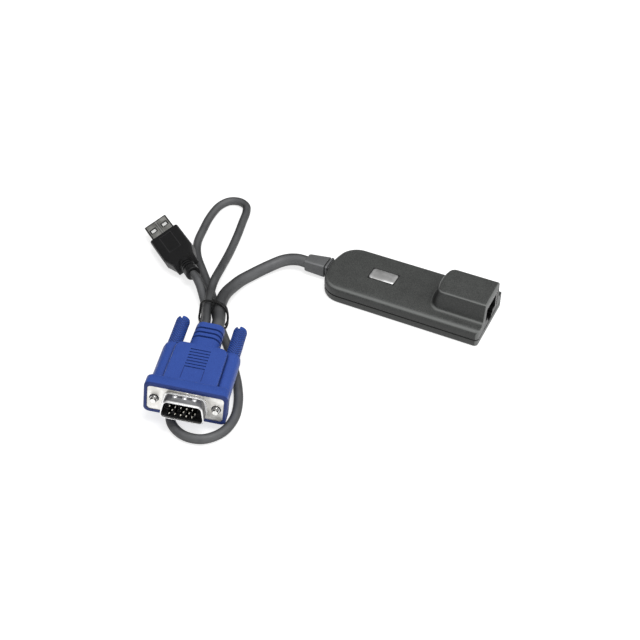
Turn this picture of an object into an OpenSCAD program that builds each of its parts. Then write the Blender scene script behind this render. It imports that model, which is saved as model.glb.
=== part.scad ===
// Console adapter: a small network port housing on a short cable, which ends
// in a fifteen pole video plug, with a thin second cable on to a USB plug.
// The origin is the middle of the housing's underside. +X points to the
// network port, +Z up, and the cables leave at -X and lie on the same surface.

/* [Housing] */
// Length of the housing along X
body_len = 78; // [74:1:90]
// Width of the housing
body_w = 31.5; // [30:0.5:36]
// Height of the low top
body_h = 8.9; // [8.6:0.1:10]
// Height of the joint between the two shells
part_z = 3.7; // [3.4:0.1:4]
// Radius of the two round corners at the cable end
round_r = 10; // [7:0.5:12]
// Radius of the bowed end between them
bow_r = 30; // [24:1:60]
// Radius of the upright corners at the port end
corner_r = 1.8; // [1:0.1:3]
// Radius of the soft shoulder round the top
shoulder_r = 2.6; // [1.6:0.1:3]
// Thickness of the side walls
wall = 1.5; // [1.2:0.1:1.8]
// Thickness of the floor
floor_t = 1.1; // [0.9:0.1:1.3]

/* [Port block] */
// Height of the raised block over the port
block_h = 18.8; // [18.4:0.1:20]
// Thickness of the block's side walls
block_wall = 0.7; // [0.6:0.05:1]
// Length of the block at its top
block_len = 23.6; // [22:0.2:28]
// Radius of the block's two inner corners
block_r = 3.2; // [2:0.1:4]
// Spread of the block's sides at their foot
block_spread = 2.7; // [1.2:0.1:3]
// Spread of the block's end at its foot
block_end_spread = 5.4; // [2:0.1:6]

/* [Network jack] */
// Width of the jack without its shield
jack_w = 15.2; // [14.8:0.1:15.4]
// Height of the jack without its shield
jack_h = 11.5; // [11.3:0.1:11.7]
// Depth of the jack
jack_len = 16; // [15:0.5:18]
// Width of the plug opening
port_w = 11.8; // [11.6:0.1:12]
// Height of the plug opening over its latch steps
port_h = 6.8; // [6.6:0.1:6.9]
// Depth of the plug opening
port_depth = 12.5; // [11.5:0.1:13]
// Sheet thickness of the shield
shield_t = 0.25; // [0.2:0.01:0.3]
// Distance between neighbouring contacts
contact_pitch = 1.02; // [1:0.01:1.1]

/* [Circuit board] */
// Thickness of the circuit board
board_t = 1.6; // [1.4:0.1:1.6]
// Height of the ledge under the board
ledge_h = 0.7; // [0.6:0.1:0.9]

/* [Housing screws] */
// Diameter of a housing screw
screw_d = 2; // [1.8:0.1:2.2]
// Diameter of its head
screw_head_d = 3.8; // [3.4:0.1:4.2]
// Height of its head
screw_head_h = 0.8; // [0.7:0.05:0.9]
// Distance of one screw from the cable end
screw_far = 13; // [11:0.5:16]
// Distance of the other screw from the middle
screw_near = 7.5; // [6:0.5:8.5]

/* [Cable boot] */
// Length of the boot outside the housing
boot_len = 11.6; // [10:0.2:16]
// Width of the boot at the housing
boot_w = 8.3; // [7.6:0.1:9]
// Height of the boot at the housing
boot_h = 7.2; // [6.6:0.1:7.4]
// Width of the boot at its tip
boot_tip_w = 6.7; // [6.4:0.1:7.2]

/* [Video plug] */
// Width of the connector's plate
plate_w = 30.8; // [30:0.1:31.4]
// Height of the plate
plate_h = 12.5; // [12:0.1:12.8]
// Thickness of each of the two plates
plate_t = 0.8; // [0.7:0.05:0.9]
// Distance between the two thumbscrews
screw_gap = 25; // [24.8:0.1:25.2]
// Width of the shroud at its wide side
shroud_w = 17.6; // [17.4:0.1:17.8]
// Height of the shroud
shroud_h = 9.1; // [8.9:0.1:9.2]
// Length of the shroud in front of the plate
shroud_len = 5.5; // [5.3:0.1:6]
// Distance between the contacts of one row
pin_pitch = 2.29; // [2.2:0.01:2.3]
// Distance between the rows of contacts
row_pitch = 1.98; // [1.9:0.01:2]
// Diameter of a contact
pin_d = 0.76; // [0.7:0.02:0.8]

/* [Video hood] */
// Width of the hood's front rim
rim_w = 33.6; // [33:0.1:36]
// Height of the rim
rim_h = 15.8; // [15:0.1:17]
// Depth of the rim behind the plate
rim_len = 5.5; // [5:0.1:7]
// Width of the raised middle of the hood
grip_w = 22; // [21.6:0.1:23]
// Thickness of the middle at the rim
grip_h = 13.2; // [12.8:0.1:14]
// Thickness of the middle at its rear
grip_rear_h = 10.8; // [10.2:0.1:12]
// Length of the hood back to the root of the cable relief
hood_len = 30; // [29:0.5:32]
// Diameter of the sleeves round the thumbscrews
sleeve_d = 7.8; // [7.6:0.1:8.4]
// Length of the relief that holds both cables
relief_len = 16.8; // [14:0.2:20]
// Width of the relief at its root
relief_w = 13; // [12.4:0.1:14]
// Height of the relief at its root
relief_h = 9.6; // [9:0.1:10.4]
// Width of the relief at its tip
relief_tip_w = 12.4; // [11.6:0.1:13]
// Height of the relief at its tip
relief_tip_h = 7.4; // [7:0.1:8]

/* [Thumbscrews] */
// Diameter of the knobs
knob_d = 6; // [5.6:0.1:6.2]
// Length of a knob
knob_len = 20; // [16:0.5:22]
// Diameter of the thumbscrew's shaft
shaft_d = 2.8; // [2.6:0.1:2.9]
// Travel from drawn back to fully forward
screw_travel = 4; // [3.5:0.1:4.5]
// Length of the thread that shows in front of the plate, drawn back
thread_out = 2; // [1.6:0.1:2.6]

/* [USB plug] */
// Width of the plug's metal shell
usb_w = 12; // [11.9:0.1:12.1]
// Height of the shell
usb_h = 4.5; // [4.4:0.05:4.6]
// Length of the shell in front of the grip
usb_len = 11.5; // [11.3:0.05:12]
// Sheet thickness of the shell
usb_sheet = 0.3; // [0.25:0.01:0.35]
// Width of the moulded grip
grip_usb_w = 15.4; // [15:0.1:16.4]
// Height of the moulded grip
grip_usb_h = 6.6; // [6.4:0.1:7.4]
// Length of the moulded grip
grip_usb_len = 25.4; // [24:0.2:28]
// Length of its cable relief
tail_len = 7.8; // [7:0.1:10]

/* [Cables] */
// Diameter of the cable between housing and video plug
main_d = 5.6; // [5:0.1:5.8]
// Diameter of the cable to the USB plug
usb_d = 4; // [3.6:0.1:4.1]
// Diameter of the wire tie
tie_d = 1; // [0.8:0.05:1.1]

/* [Hidden] */

// Numbers that all pieces share
over = 0.5;              // how far a cut runs past the face that it opens
seat_gap = 0.02;         // clearance of pieces that sit fixed in each other
fit_gap = 0.15;          // clearance of a piece in its pocket
run_gap = 0.3;           // clearance between a moving piece and what it passes
arc_steps = 6;           // straight pieces in a quarter of an outline's corner
round_fn = 48;                        // facets of a round thing
fine_fn = 24;                         // facets of a small round thing

// Places of the two plugs, as they lie in the photograph
video_pos = [-49.3, -110.4, 13];
video_turn = [-3.1, 6.8, 17.7];
usb_pos = [-119.3, -14.7, 6];
usb_turn = [-2.1, -21, 55.4];

// Functions for outlines, lofts and swept tubes
function unit(v) = v / norm(v);
function arc(c, r, a0, a1, n) =
    [for (i = [0:n]) c + r * [cos(a0 + (a1 - a0) * i / n), sin(a0 + (a1 - a0) * i / n)]];
// Rectangle with round corners, by half sizes
function soft_box(hw, hh, r, n = arc_steps) = concat(
    arc([hw - r, -hh + r], r, -90, 0, n), arc([hw - r, hh - r], r, 0, 90, n),
    arc([-hw + r, hh - r], r, 90, 180, n), arc([-hw + r, -hh + r], r, 180, 270, n));
// Flat at x1 with small corners, bowed with large round corners at x0
function tongue(x0, x1, hw, rc, rb, rp, n = arc_steps) =
    let (turn = asin((hw - rc) / (rb - rc)), cx = x0 + rb - (rb - rc) * cos(turn))
    concat(arc([x1 - rp, -hw + rp], rp, -90, 0, n), arc([x1 - rp, hw - rp], rp, 0, 90, n),
        arc([cx, hw - rc], rc, 90, 180 - turn, n + 2),
        arc([x0 + rb, 0], rb, 180 - turn, 180 + turn, n),
        arc([cx, -hw + rc], rc, 180 + turn, 270, n + 2));
// Four-sided shroud outline, wide side down, with round corners
function shroud(w, h, r, n = 4) =
    let (lean = 10, low = w / 2 - r, high = low - (h - 2 * r) * tan(lean))
    concat(arc([low, -h / 2 + r], r, -90, lean, n), arc([high, h / 2 - r], r, lean, 90, n),
        arc([-high, h / 2 - r], r, 90, 180 - lean, n), arc([-low, -h / 2 + r], r, 180 - lean, 270, n));
function at_z(pts, z) = [for (p = pts) [p[0], p[1], z]];
function at_y(pts, y, c = [0, 0]) = [for (p = pts) [p[0] + c[0], y, -p[1] + c[1]]];
function upright(pts, y) = [for (p = pts) [p[0], y, p[1]]];
function at_x(pts, x, c = [0, 0]) = [for (p = pts) [x, p[0] + c[0], p[1] + c[1]]];

module loft(rings) {
    n = len(rings[0]);
    m = len(rings);
    polyhedron(
        points = [for (r = rings) each r],
        faces = concat([[for (i = [0:n - 1]) i]],
            [for (k = [0:m - 2]) for (i = [0:n - 1])
                [k * n + i, (k + 1) * n + i, (k + 1) * n + (i + 1) % n]],
            [for (k = [0:m - 2]) for (i = [0:n - 1])
                [k * n + i, (k + 1) * n + (i + 1) % n, k * n + (i + 1) % n]],
            [[for (i = [n - 1:-1:0]) (m - 1) * n + i]]),
        convexity = 10);
}

// Direction of a line at one of its points, and a tube along it
function heading(line, i) = let (n = len(line) - 1)
    unit(line[min(i + 1, n)] - line[max(i - 1, 0)]);
module tube(line, r, sides, up = [0, 0, 1]) {
    loft([for (i = [0:len(line) - 1])
        let (t = heading(line, i), side = unit(cross(up, t)), rise = cross(t, side))
        [for (k = [0:sides - 1])
            line[i] + r * (side * cos(360 * k / sides) + rise * sin(360 * k / sides))]]);
}

// Turns a place on a plug into a place in the frame
function turned(v, a) = let (
    x1 = [v[0], v[1] * cos(a[0]) - v[2] * sin(a[0]), v[1] * sin(a[0]) + v[2] * cos(a[0])],
    y1 = [x1[0] * cos(a[1]) + x1[2] * sin(a[1]), x1[1], -x1[0] * sin(a[1]) + x1[2] * cos(a[1])])
    [y1[0] * cos(a[2]) - y1[1] * sin(a[2]), y1[0] * sin(a[2]) + y1[1] * cos(a[2]), y1[2]];
module at_video() { translate(video_pos) rotate(video_turn) children(); }
module at_usb() { translate(usb_pos) rotate(usb_turn) children(); }
// A cylinder along Y, from y0 to y1
module rod_y(r, y0, y1, x = 0, z = 0, fn = round_fn) {
    translate([x, y1, z]) rotate([90, 0, 0]) cylinder(r = r, h = y1 - y0, $fn = fn);
}
// A box given by its two corners
module block(lo, hi) { translate(lo) cube(hi - lo); }

// Housing: values that follow from the sizes above
x_port = body_len / 2;
x_cable = -body_len / 2;
groove = 0.35;                        // depth and height of each side of the joint line
lip_t = 0.7;                          // thickness of the lower shell's locating lip
lip_h = 0.9;                          // height of that lip above the joint
foot_r = 0.9;                         // rounding round the underside
roof_t = 1.4;                         // thickness of the low top
block_end_wall = 1.5;
block_edge = 1;                       // rounding round the block's top
foot_fillet = 1.8;                    // height of the hollow fillet round the block's foot
fillet_share = 0.55;                  // share of the spread that lies in the fillet
block_bow = 24;
mouth_gap = 0.2;                      // air round the shield in the end wall
board_z = floor_t + ledge_h;
board_top = board_z + board_t;
jack_z = board_top;
jack_top = jack_z + jack_h;
jack_face = x_port - fit_gap;         // plane of the jack's front
mouth_hw = jack_w / 2 + shield_t + mouth_gap;
mouth_top = jack_top + shield_t + mouth_gap + fit_gap;
block_w = 2 * (mouth_hw + block_wall); // width of the block at its top
chip_roof = body_h - roof_t;          // underside of the low top

function body_ring(z, ins) = at_z(tongue(x_cable + ins, x_port, body_w / 2 - ins,
    round_r - ins, bow_r - ins, max(corner_r - ins, groove)), z);
function foot_ring(z, ins) = at_z(tongue(x_cable + ins, x_port - ins, body_w / 2 - ins,
    round_r - ins, bow_r - ins, max(corner_r - ins, groove)), z);
function block_ring(h, ins) = let (
    tall = block_h - body_h,
    lean = (1 - fillet_share) * (1 - max(h, 0) / tall),
    q = max(0, 1 - max(h, 0) / foot_fillet),
    hollow = fillet_share * (1 - sqrt(1 - q * q)),
    s = block_spread * (lean + hollow) - ins,
    e = block_end_spread * (lean + hollow) - ins)
    at_z(tongue(x_port - block_len - e, x_port - ins, block_w / 2 + s, block_r + s,
        block_bow + s, groove), body_h + h);
function shoulder_rings(top, r, ins) = [for (a = [0:15:90])
    body_ring(top - r + r * sin(a), ins + r * (1 - cos(a)))];

screw_places = [[x_cable + screw_far, 0], [screw_near, 0]];
boss_wall = 1;
boss_r = screw_head_d / 2 + boss_wall; // post round a screw, from the floor
post_step = 0.6;                      // how much slimmer the post from the roof is
head_deep = 0.9;                      // depth of the recess under a screw head
tip_cover = 0.6;
screw_tip = chip_roof - tip_cover;    // height of the screw's tip

module top_form() {
    loft(concat([body_ring(part_z, groove), body_ring(part_z + groove, 0)],
        shoulder_rings(body_h, shoulder_r, 0)));
    loft(concat([for (h = [-foot_fillet, 0, foot_fillet * 0.12, foot_fillet * 0.3,
            foot_fillet * 0.55, foot_fillet]) block_ring(h, 0)],
        [for (a = [0:22.5:90])
            block_ring(block_h - body_h - block_edge * (1 - sin(a)), block_edge * (1 - cos(a)))]));
}
module top_hollow() {
    inner_r = max(shoulder_r - wall, groove);
    loft(concat([at_z(tongue(x_cable + wall, x_port - wall, body_w / 2 - wall, round_r - wall,
        bow_r - wall, groove), part_z - over)],
        [for (a = [0:30:90]) at_z(tongue(x_cable + wall + inner_r * (1 - cos(a)), x_port - wall,
            body_w / 2 - wall - inner_r * (1 - cos(a)), round_r - wall - inner_r * (1 - cos(a)),
            bow_r - wall, groove), chip_roof - inner_r + inner_r * sin(a))]));
    // room for the jack: it follows the block's round inner corners
    translate([0, 0, part_z]) linear_extrude(block_h - roof_t - part_z)
        polygon(tongue(x_port - block_len + block_end_wall, x_port - wall, mouth_hw, block_r,
            block_bow, groove));
    block([x_port - jack_len, -mouth_hw, part_z], [x_port - wall, mouth_hw, block_h - roof_t]);
}
// Space for the lower shell's lip, and the lip itself with its clearance
module lip_form(gap, z0, z1) {
    ins = wall - lip_t - gap;
    difference() {
        linear_extrude_ring(ins, z0, z1);
        linear_extrude_ring(wall, z0 - over, z1 + over);
    }
}
module linear_extrude_ring(ins, z0, z1) {
    translate([0, 0, z0]) linear_extrude(z1 - z0)
        polygon(tongue(x_cable + ins, x_port - ins, body_w / 2 - ins, round_r - ins, bow_r - ins,
            max(corner_r - ins, groove)));
}
module mouth() {
    block([x_port - wall - over, -mouth_hw, jack_z - mouth_gap],
        [x_port + over, mouth_hw, mouth_top]);
}

neck_step = 1.5;                      // how much the boot narrows in the wall
boot_neck_w = boot_w - neck_step;
boot_neck_h = boot_h - neck_step;
boot_z = 4.8;                         // height of the boot's middle at the housing
boot_tip_z = 5;
boot_drift = -1.1;                    // the boot leans to the near side by this much
boot_flat = 0.2;
boot_tip_h = boot_tip_w - boot_flat;
boot_flange_t = 1.2;
bow_room = 0.6;                       // the inside of the bowed wall needs this much more
boot_flange_x = x_cable + wall + bow_room; // face of the flange inside the wall
boot_corner = 1.4;
module boot_hole(gap) {
    hw = boot_neck_w / 2 + gap;
    hh = boot_neck_h / 2 + gap;
    translate([x_cable - over, 0, boot_z]) rotate([90, 0, 90])
        linear_extrude(wall + 2 * over + boot_corner) polygon(soft_box(hw, hh, boot_corner));
}

module top_shell() {
    color([0.27, 0.275, 0.27]) difference() {
        union() {
            difference() {
                top_form();
                top_hollow();
            }
            for (p = screw_places) translate([p[0], p[1], board_top + seat_gap])
                cylinder(r = boss_r - post_step, h = chip_roof + over - board_top - seat_gap,
                    $fn = round_fn);
        }
        lip_form(fit_gap, part_z - over, part_z + lip_h + fit_gap);
        mouth();
        boot_hole(seat_gap);
        for (p = screw_places) translate([p[0], p[1], board_top - over])
            cylinder(d = screw_d + 2 * seat_gap, h = screw_tip + fit_gap - board_top + over,
                $fn = round_fn);
    }
}

module bottom_shell() {
    color([0.25, 0.255, 0.25]) difference() {
        union() {
            difference() {
                loft([foot_ring(0, foot_r), foot_ring(foot_r * 0.3, foot_r * 0.3),
                    foot_ring(foot_r, 0), foot_ring(part_z - groove, 0),
                    foot_ring(part_z, groove)]);
                linear_extrude_ring(wall, floor_t, part_z + over);
            }
            lip_form(0, part_z - groove, part_z + lip_h);
            for (p = screw_places) translate([p[0], p[1], floor_t - over])
                cylinder(r = boss_r, h = ledge_h + over, $fn = round_fn);
            for (s = [-1, 1]) for (x = [screw_places[0][0] / 2, screw_near * 2])
                block([x - ledge_h, s * body_w / 4 - ledge_h, floor_t - over],
                    [x + ledge_h, s * body_w / 4 + ledge_h, board_z]);
        }
        mouth();
        boot_hole(seat_gap);
        for (p = screw_places) translate([p[0], p[1], -over]) {
            cylinder(d = screw_d + 2 * fit_gap, h = board_z + 2 * over, $fn = round_fn);
            cylinder(d = screw_head_d + 2 * fit_gap, h = head_deep + over, $fn = round_fn);
        }
    }
}

module housing_screws() {
    slot_w = screw_head_d * 0.16;
    color([0.35, 0.35, 0.36]) for (p = screw_places) translate([p[0], p[1], 0]) difference() {
        union() {
            translate([0, 0, head_deep - screw_head_h])
                cylinder(d = screw_head_d, h = screw_head_h, $fn = round_fn);
            translate([0, 0, head_deep - screw_head_h / 2])
                cylinder(d = screw_d, h = screw_tip - head_deep + screw_head_h / 2, $fn = round_fn);
        }
        for (turn = [0, 90]) rotate([0, 0, turn])
            block([-screw_head_d * 0.32, -slot_w / 2, -over],
                [screw_head_d * 0.32, slot_w / 2, head_deep - screw_head_h * 0.4]);
    }
}

// Circuit board and what is soldered to it
board_air = 0.4;                      // air between the board and the walls
board_gap = wall + board_air;
board_x1 = x_port - wall - board_air;
boot_room = 1.5;                      // bare length between the boot and the board
board_x0 = boot_flange_x + boot_flange_t + boot_room;
module circuit_board() {
    color([0.08, 0.33, 0.16]) difference() {
        intersection() {
            linear_extrude_ring(board_gap, board_z, board_top);
            block([board_x0, -body_w, 0], [board_x1, body_w, body_h]);
        }
        for (p = screw_places) translate([p[0], p[1], 0])
            cylinder(d = screw_d + 4 * fit_gap, h = body_h, $fn = round_fn);
    }
}

jack_back = jack_face - jack_len;
port_lip = 1;                         // plastic over the opening
port_top = jack_top - port_lip;
port_low = port_top - port_h;
latch_w = 6.2;                        // first step under the opening, for the latch
latch_step = 1.6;
latch_low = port_low - latch_step;
tab_w = 3.8;                          // second, narrow step under it
tab_floor = 0.6;
tab_low = jack_z + tab_floor;
contact_w = 0.45;
contact_count = 8;
contact_near = 2.6;                   // where a contact leaves the ceiling, from the front
contact_far = 9.8;                    // its free end
contact_x1 = jack_face - contact_near;
contact_x0 = jack_face - contact_far;
contact_drop = 2.3;
contact_t = 0.3;
comb_h = 0.8;                         // depth of the slot in the ceiling that holds the contacts
comb_len = 1.6;
module jack_body() {
    comb_hw = contact_pitch * contact_count / 2;
    color([0.13, 0.13, 0.13]) difference() {
        block([jack_back, -jack_w / 2, jack_z], [jack_face, jack_w / 2, jack_top]);
        block([jack_face - port_depth, -port_w / 2, port_low],
            [jack_face + over, port_w / 2, port_top]);
        block([jack_face - port_depth, -latch_w / 2, latch_low],
            [jack_face + over, latch_w / 2, port_low + over]);
        block([jack_face - port_depth, -tab_w / 2, tab_low],
            [jack_face + over, tab_w / 2, latch_low + over]);
        block([contact_x1 - comb_len / 2, -comb_hw, port_top - over],
            [contact_x1 + comb_len / 2, comb_hw, port_top + comb_h]);
    }
}
module jack_contacts() {
    r = contact_t;
    color([0.85, 0.68, 0.3]) for (i = [0:contact_count - 1])
        translate([0, (i - (contact_count - 1) / 2) * contact_pitch + contact_w / 2, 0])
            rotate([90, 0, 0]) linear_extrude(contact_w) polygon([
                [contact_x1 + r / 2, port_top + comb_h], [contact_x1 - r / 2, port_top + comb_h],
                [contact_x1 - r / 2, port_top], [contact_x0 + 2 * r, port_top - contact_drop + r],
                [contact_x0, port_top - contact_drop + 2 * r], [contact_x0, port_top - contact_drop + r],
                [contact_x0 + 2 * r, port_top - contact_drop], [contact_x1 + r / 2, port_top - r]]);
}
module jack_shield() {
    side = jack_w / 2;
    color([0.75, 0.76, 0.78]) {
        difference() {
            block([jack_back - shield_t, -side - shield_t, jack_z],
                [jack_face, side + shield_t, jack_top + shield_t]);
            block([jack_back, -side, jack_z - over], [jack_face + over, side, jack_top]);
            for (s = [-1, 1]) block([jack_face - port_depth, s * side - over, jack_z + jack_h * 0.35],
                [jack_face - port_depth * 0.6, s * side + over, jack_z + jack_h * 0.6]);
        }
    }
}

// A flat chip with legs on two sides
module chip(at, size, legs) {
    lx = size[0];
    ly = size[1];
    h = size[2];
    foot = chip_foot;
    leg = lx / legs * 0.4;
    y0 = ly / 2 - foot;
    y1 = ly / 2 + foot;
    translate([at[0], at[1], board_top]) {
        block([-lx / 2, -ly / 2, seat_gap], [lx / 2, ly / 2, h]);
        for (s = [-1, 1]) for (i = [0:legs - 1]) translate([(i + 0.5) * lx / legs - lx / 2, 0, 0])
            block([-leg / 2, min(s * y0, s * y1), 0], [leg / 2, max(s * y0, s * y1), h * 0.4]);
    }
}
chip_foot = 0.9;                      // reach of a chip's legs
// Length, width and height of the packages, and their middles on the board
transformer_size = [12, 6.4, 2.6];
processor_size = [12, 9, 1.4];
digitizer_size = [10, 8, 1.4];
transformer_room = 2;
transformer_at = [jack_back - transformer_room - transformer_size[0] / 2, -body_w * 0.26];
transformer_legs = 8;
processor_legs = 12;
digitizer_legs = 10;
// Places on the board, as shares of the housing's length and width
processor_share = [-0.077, -0.2];
digitizer_share = [-0.077, 0.22];
capacitor_shares = [[-0.23, 0.26], [0.1, 0.28], [-0.18, 0]];
function on_board(share) = [body_len * share[0], body_w * share[1]];
processor_at = on_board(processor_share);
digitizer_at = on_board(digitizer_share);
module isolation_transformer() {
    color([0.12, 0.12, 0.12]) chip(transformer_at, transformer_size, transformer_legs);
}
module main_processor() {
    color([0.15, 0.15, 0.16]) chip(processor_at, processor_size, processor_legs);
}
module video_digitizer() {
    color([0.17, 0.17, 0.18]) chip(digitizer_at, digitizer_size, digitizer_legs);
}
crystal_r = 1.9;
crystal_h = 2.6;
crystal_half = 3;
crystal_room = 1.1;
crystal_at = [processor_at[0] - processor_size[0] / 2 - crystal_room - crystal_half - crystal_r,
    -body_w * 0.24];
module quartz_crystal() {
    color([0.78, 0.78, 0.8]) translate([crystal_at[0], crystal_at[1], board_top]) {
        for (s = [-1, 1]) translate([s * crystal_half, 0, 0])
            cylinder(r = crystal_r, h = crystal_h, $fn = round_fn);
        block([-crystal_half, -crystal_r, 0], [crystal_half, crystal_r, crystal_h]);
    }
}
cap_r = 1.6;
cap_h = 3.2;
module capacitors() {
    color([0.7, 0.55, 0.3]) for (share = capacitor_shares)
        translate([on_board(share)[0], on_board(share)[1], board_top])
            cylinder(r = cap_r, h = cap_h, $fn = round_fn);
}
plug_len = 4;                         // board connector for the cable's wires
plug_w = 10;
plug_h = 3.4;
plug_inset = 0.6;
plug_x = board_x0 + plug_inset;
wire_r = 0.45;
wire_pitch = 0.96;
wire_count = 7;
wire_z = board_top + plug_h / 2;
module board_connector() {
    color([0.9, 0.89, 0.84]) block([plug_x, -plug_w / 2, board_top],
        [plug_x + plug_len, plug_w / 2, board_top + plug_h]);
}
module cable_wires() {
    color([0.75, 0.2, 0.15]) for (i = [0:wire_count - 1])
        translate([boot_flange_x + boot_flange_t, (i - (wire_count - 1) / 2) * wire_pitch, wire_z])
            rotate([0, 90, 0])
                cylinder(r = wire_r, h = plug_x - boot_flange_x - boot_flange_t, $fn = fine_fn);
}

// Cable boot: a flange inside the wall, a neck through it, a collar and a taper
boot_tip_x = x_cable - boot_len;
module cable_boot() {
    collar = 0.8;
    notch = 0.8;
    notch_deep = 0.7;
    grow = 0.4;
    flange_hw = boot_w / 2 + grow;
    flange_hh = min(boot_h / 2 + grow / 2, chip_roof - boot_z - fit_gap);
    x1 = x_cable - collar;
    x2 = x1 - notch;
    root = [boot_w / 2, boot_h / 2];
    tip = [boot_tip_w / 2, boot_tip_h / 2];
    function cut(x, hw, hh, r, t) =
        at_x(soft_box(hw, hh, r), x, [boot_drift * t, boot_z + (boot_tip_z - boot_z) * t]);
    color([0.4, 0.405, 0.41]) {
        loft([cut(boot_tip_x, tip[0] - notch_deep, tip[1] - notch_deep, boot_corner, 1),
            cut(boot_tip_x + notch_deep / 3, tip[0] - notch_deep / 4, tip[1] - notch_deep / 4,
                boot_corner, 1),
            cut(boot_tip_x + notch_deep, tip[0], tip[1], boot_corner, 0.95),
            cut(x2, root[0], root[1], boot_corner, 0.1),
            cut(x2 + notch / 4, root[0] - notch_deep, root[1] - notch_deep, boot_corner, 0.05),
            cut(x1 - notch / 4, root[0] - notch_deep, root[1] - notch_deep, boot_corner, 0.05),
            cut(x1, root[0], root[1], boot_corner, 0),
            cut(x_cable - seat_gap, root[0], root[1], boot_corner, 0),
            cut(x_cable - seat_gap + groove / 8, boot_neck_w / 2, boot_neck_h / 2, boot_corner, 0),
            cut(boot_flange_x, boot_neck_w / 2, boot_neck_h / 2, boot_corner, 0),
            cut(boot_flange_x + groove / 8, flange_hw, flange_hh, boot_corner, 0),
            cut(boot_flange_x + boot_flange_t, flange_hw, flange_hh, boot_corner, 0)]);
    }
}

// Video plug, in its own frame: Y runs back from the front of the plate
skirt_len = 5;                        // rear shell's box behind its plate
sheet_t = 0.4;
face_y = -0.4;                        // front face of the insulator
tail_y = 8;                           // rear face of the insulator
step_grow = 0.55;                     // raised step at the shroud's root
step_h = 0.6;
shroud_r = 2.2;
insulator_gap = 0.05;
hole_r = pin_d / 2 + seat_gap;
jackscrew_hole = shaft_d / 2 + run_gap / 2;
plate_hole_gap = 0.55;                // clearance round the thumbscrews in the plates
lip_r = 0.3;                          // rounding of the shroud's front edge
dimple_r = 1.4;                       // the three pressed bumps on top of the shroud
dimple_high = 0.25;
pin_places = [for (row = [-1:1]) for (i = [-2:2])
    if (!(row == 0 && i == -1))
        [(i + (row == 0 ? 0.5 : 0)) * pin_pitch - pin_pitch / 4, row * row_pitch]];
spare_place = [(-1 + 0.5) * pin_pitch - pin_pitch / 4, 0];
module extrude_y(pts, y0, y1) {
    translate([0, y1, 0]) rotate([90, 0, 0]) linear_extrude(y1 - y0) polygon(pts);
}
module plate(y0, y1) {
    difference() {
        extrude_y(soft_box(plate_w / 2, plate_h / 2, 2 * plate_t), y0, y1);
        for (s = [-1, 1])
            rod_y(shaft_d / 2 + plate_hole_gap, y0 - over, y1 + over, s * screw_gap / 2);
    }
}
module video_front_shell() {
    color([0.79, 0.77, 0.72]) at_video() difference() {
        union() {
            plate(0, plate_t);
            extrude_y(shroud(shroud_w + 2 * step_grow, shroud_h + 2 * step_grow, shroud_r + step_grow),
                -step_h, plate_t / 2);
            loft(concat([upright(shroud(shroud_w, shroud_h, shroud_r), plate_t / 2)],
                [for (a = [0:30:90]) let (ins = lip_r * (1 - cos(a))) upright(
                    shroud(shroud_w - 2 * ins, shroud_h - 2 * ins, shroud_r - ins),
                    -shroud_len + lip_r * (1 - sin(a)))]));
            for (x = [-1:1]) translate([x * pin_pitch * 1.7, -shroud_len * 0.3,
                shroud_h / 2 + dimple_high - dimple_r]) sphere(r = dimple_r, $fn = fine_fn);
        }
        extrude_y(shroud(shroud_w - 2 * sheet_t, shroud_h - 2 * sheet_t, shroud_r - sheet_t),
            -shroud_len - over, plate_t + over);
    }
}
skirt_grow = [1.9, 1.3];                // the rear shell's box is this much larger than the shroud
skirt_w = shroud_w + skirt_grow[0];
skirt_h = shroud_h + skirt_grow[1];
module video_rear_shell() {
    y0 = plate_t + seat_gap;
    y1 = 2 * plate_t + seat_gap;
    color([0.76, 0.75, 0.71]) at_video() difference() {
        union() {
            plate(y0, y1);
            extrude_y(soft_box(skirt_w / 2, skirt_h / 2, shroud_r), y1 - plate_t / 2, y1 + skirt_len);
        }
        extrude_y(soft_box(skirt_w / 2 - sheet_t, skirt_h / 2 - sheet_t, shroud_r - sheet_t),
            y1, y1 + skirt_len + over);
        extrude_y(shroud(shroud_w - 2 * sheet_t, shroud_h - 2 * sheet_t, shroud_r - sheet_t),
            y0 - over, y1 + over);
    }
}
flange_y0 = 2 * plate_t + 2 * seat_gap;
flange_t = 3;                         // thickness of the insulator's flange
flange_y1 = flange_y0 + flange_t;
module video_insulator() {
    color([0.09, 0.09, 0.1]) at_video() difference() {
        union() {
            extrude_y(shroud(shroud_w - 2 * sheet_t - 2 * insulator_gap,
                shroud_h - 2 * sheet_t - 2 * insulator_gap, shroud_r - sheet_t), face_y, tail_y);
            extrude_y(soft_box(skirt_w / 2 - sheet_t - insulator_gap,
                skirt_h / 2 - sheet_t - insulator_gap, shroud_r - sheet_t), flange_y0, flange_y1);
        }
        for (p = concat(pin_places, [spare_place]))
            rod_y(hole_r, face_y - over, tail_y + over, p[0], p[1], fine_fn);
    }
}
module video_pins() {
    tip = pin_d * 0.7;
    back_set = 0.5;                   // tips behind the shroud's front
    y0 = -shroud_len + back_set;
    color([0.86, 0.8, 0.62]) at_video() for (p = pin_places) translate([p[0], 0, p[1]]) {
        rod_y(pin_d / 2, y0 + tip, tail_y, fn = fine_fn);
        translate([0, y0 + tip, 0]) rotate([90, 0, 0])
            cylinder(r1 = pin_d / 2, r2 = pin_d / 5, h = tip, $fn = fine_fn);
    }
}
cavity_hw = skirt_w / 2 + seat_gap;
cavity_hh = skirt_h / 2 + seat_gap;
cavity_end = 17;
module video_inner_mould() {
    y0 = tail_y + seat_gap;
    color([0.75, 0.75, 0.72]) at_video()
        loft([at_y(soft_box(cavity_hw - fit_gap, cavity_hh - fit_gap, shroud_r), y0),
            at_y(soft_box(cavity_hw - fit_gap, cavity_hh - fit_gap, shroud_r),
                cavity_end - 3 * sheet_t),
            at_y(soft_box(cavity_hw - 3 * sheet_t, cavity_hh - 3 * sheet_t, shroud_r),
                cavity_end - seat_gap)]);
}

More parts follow.
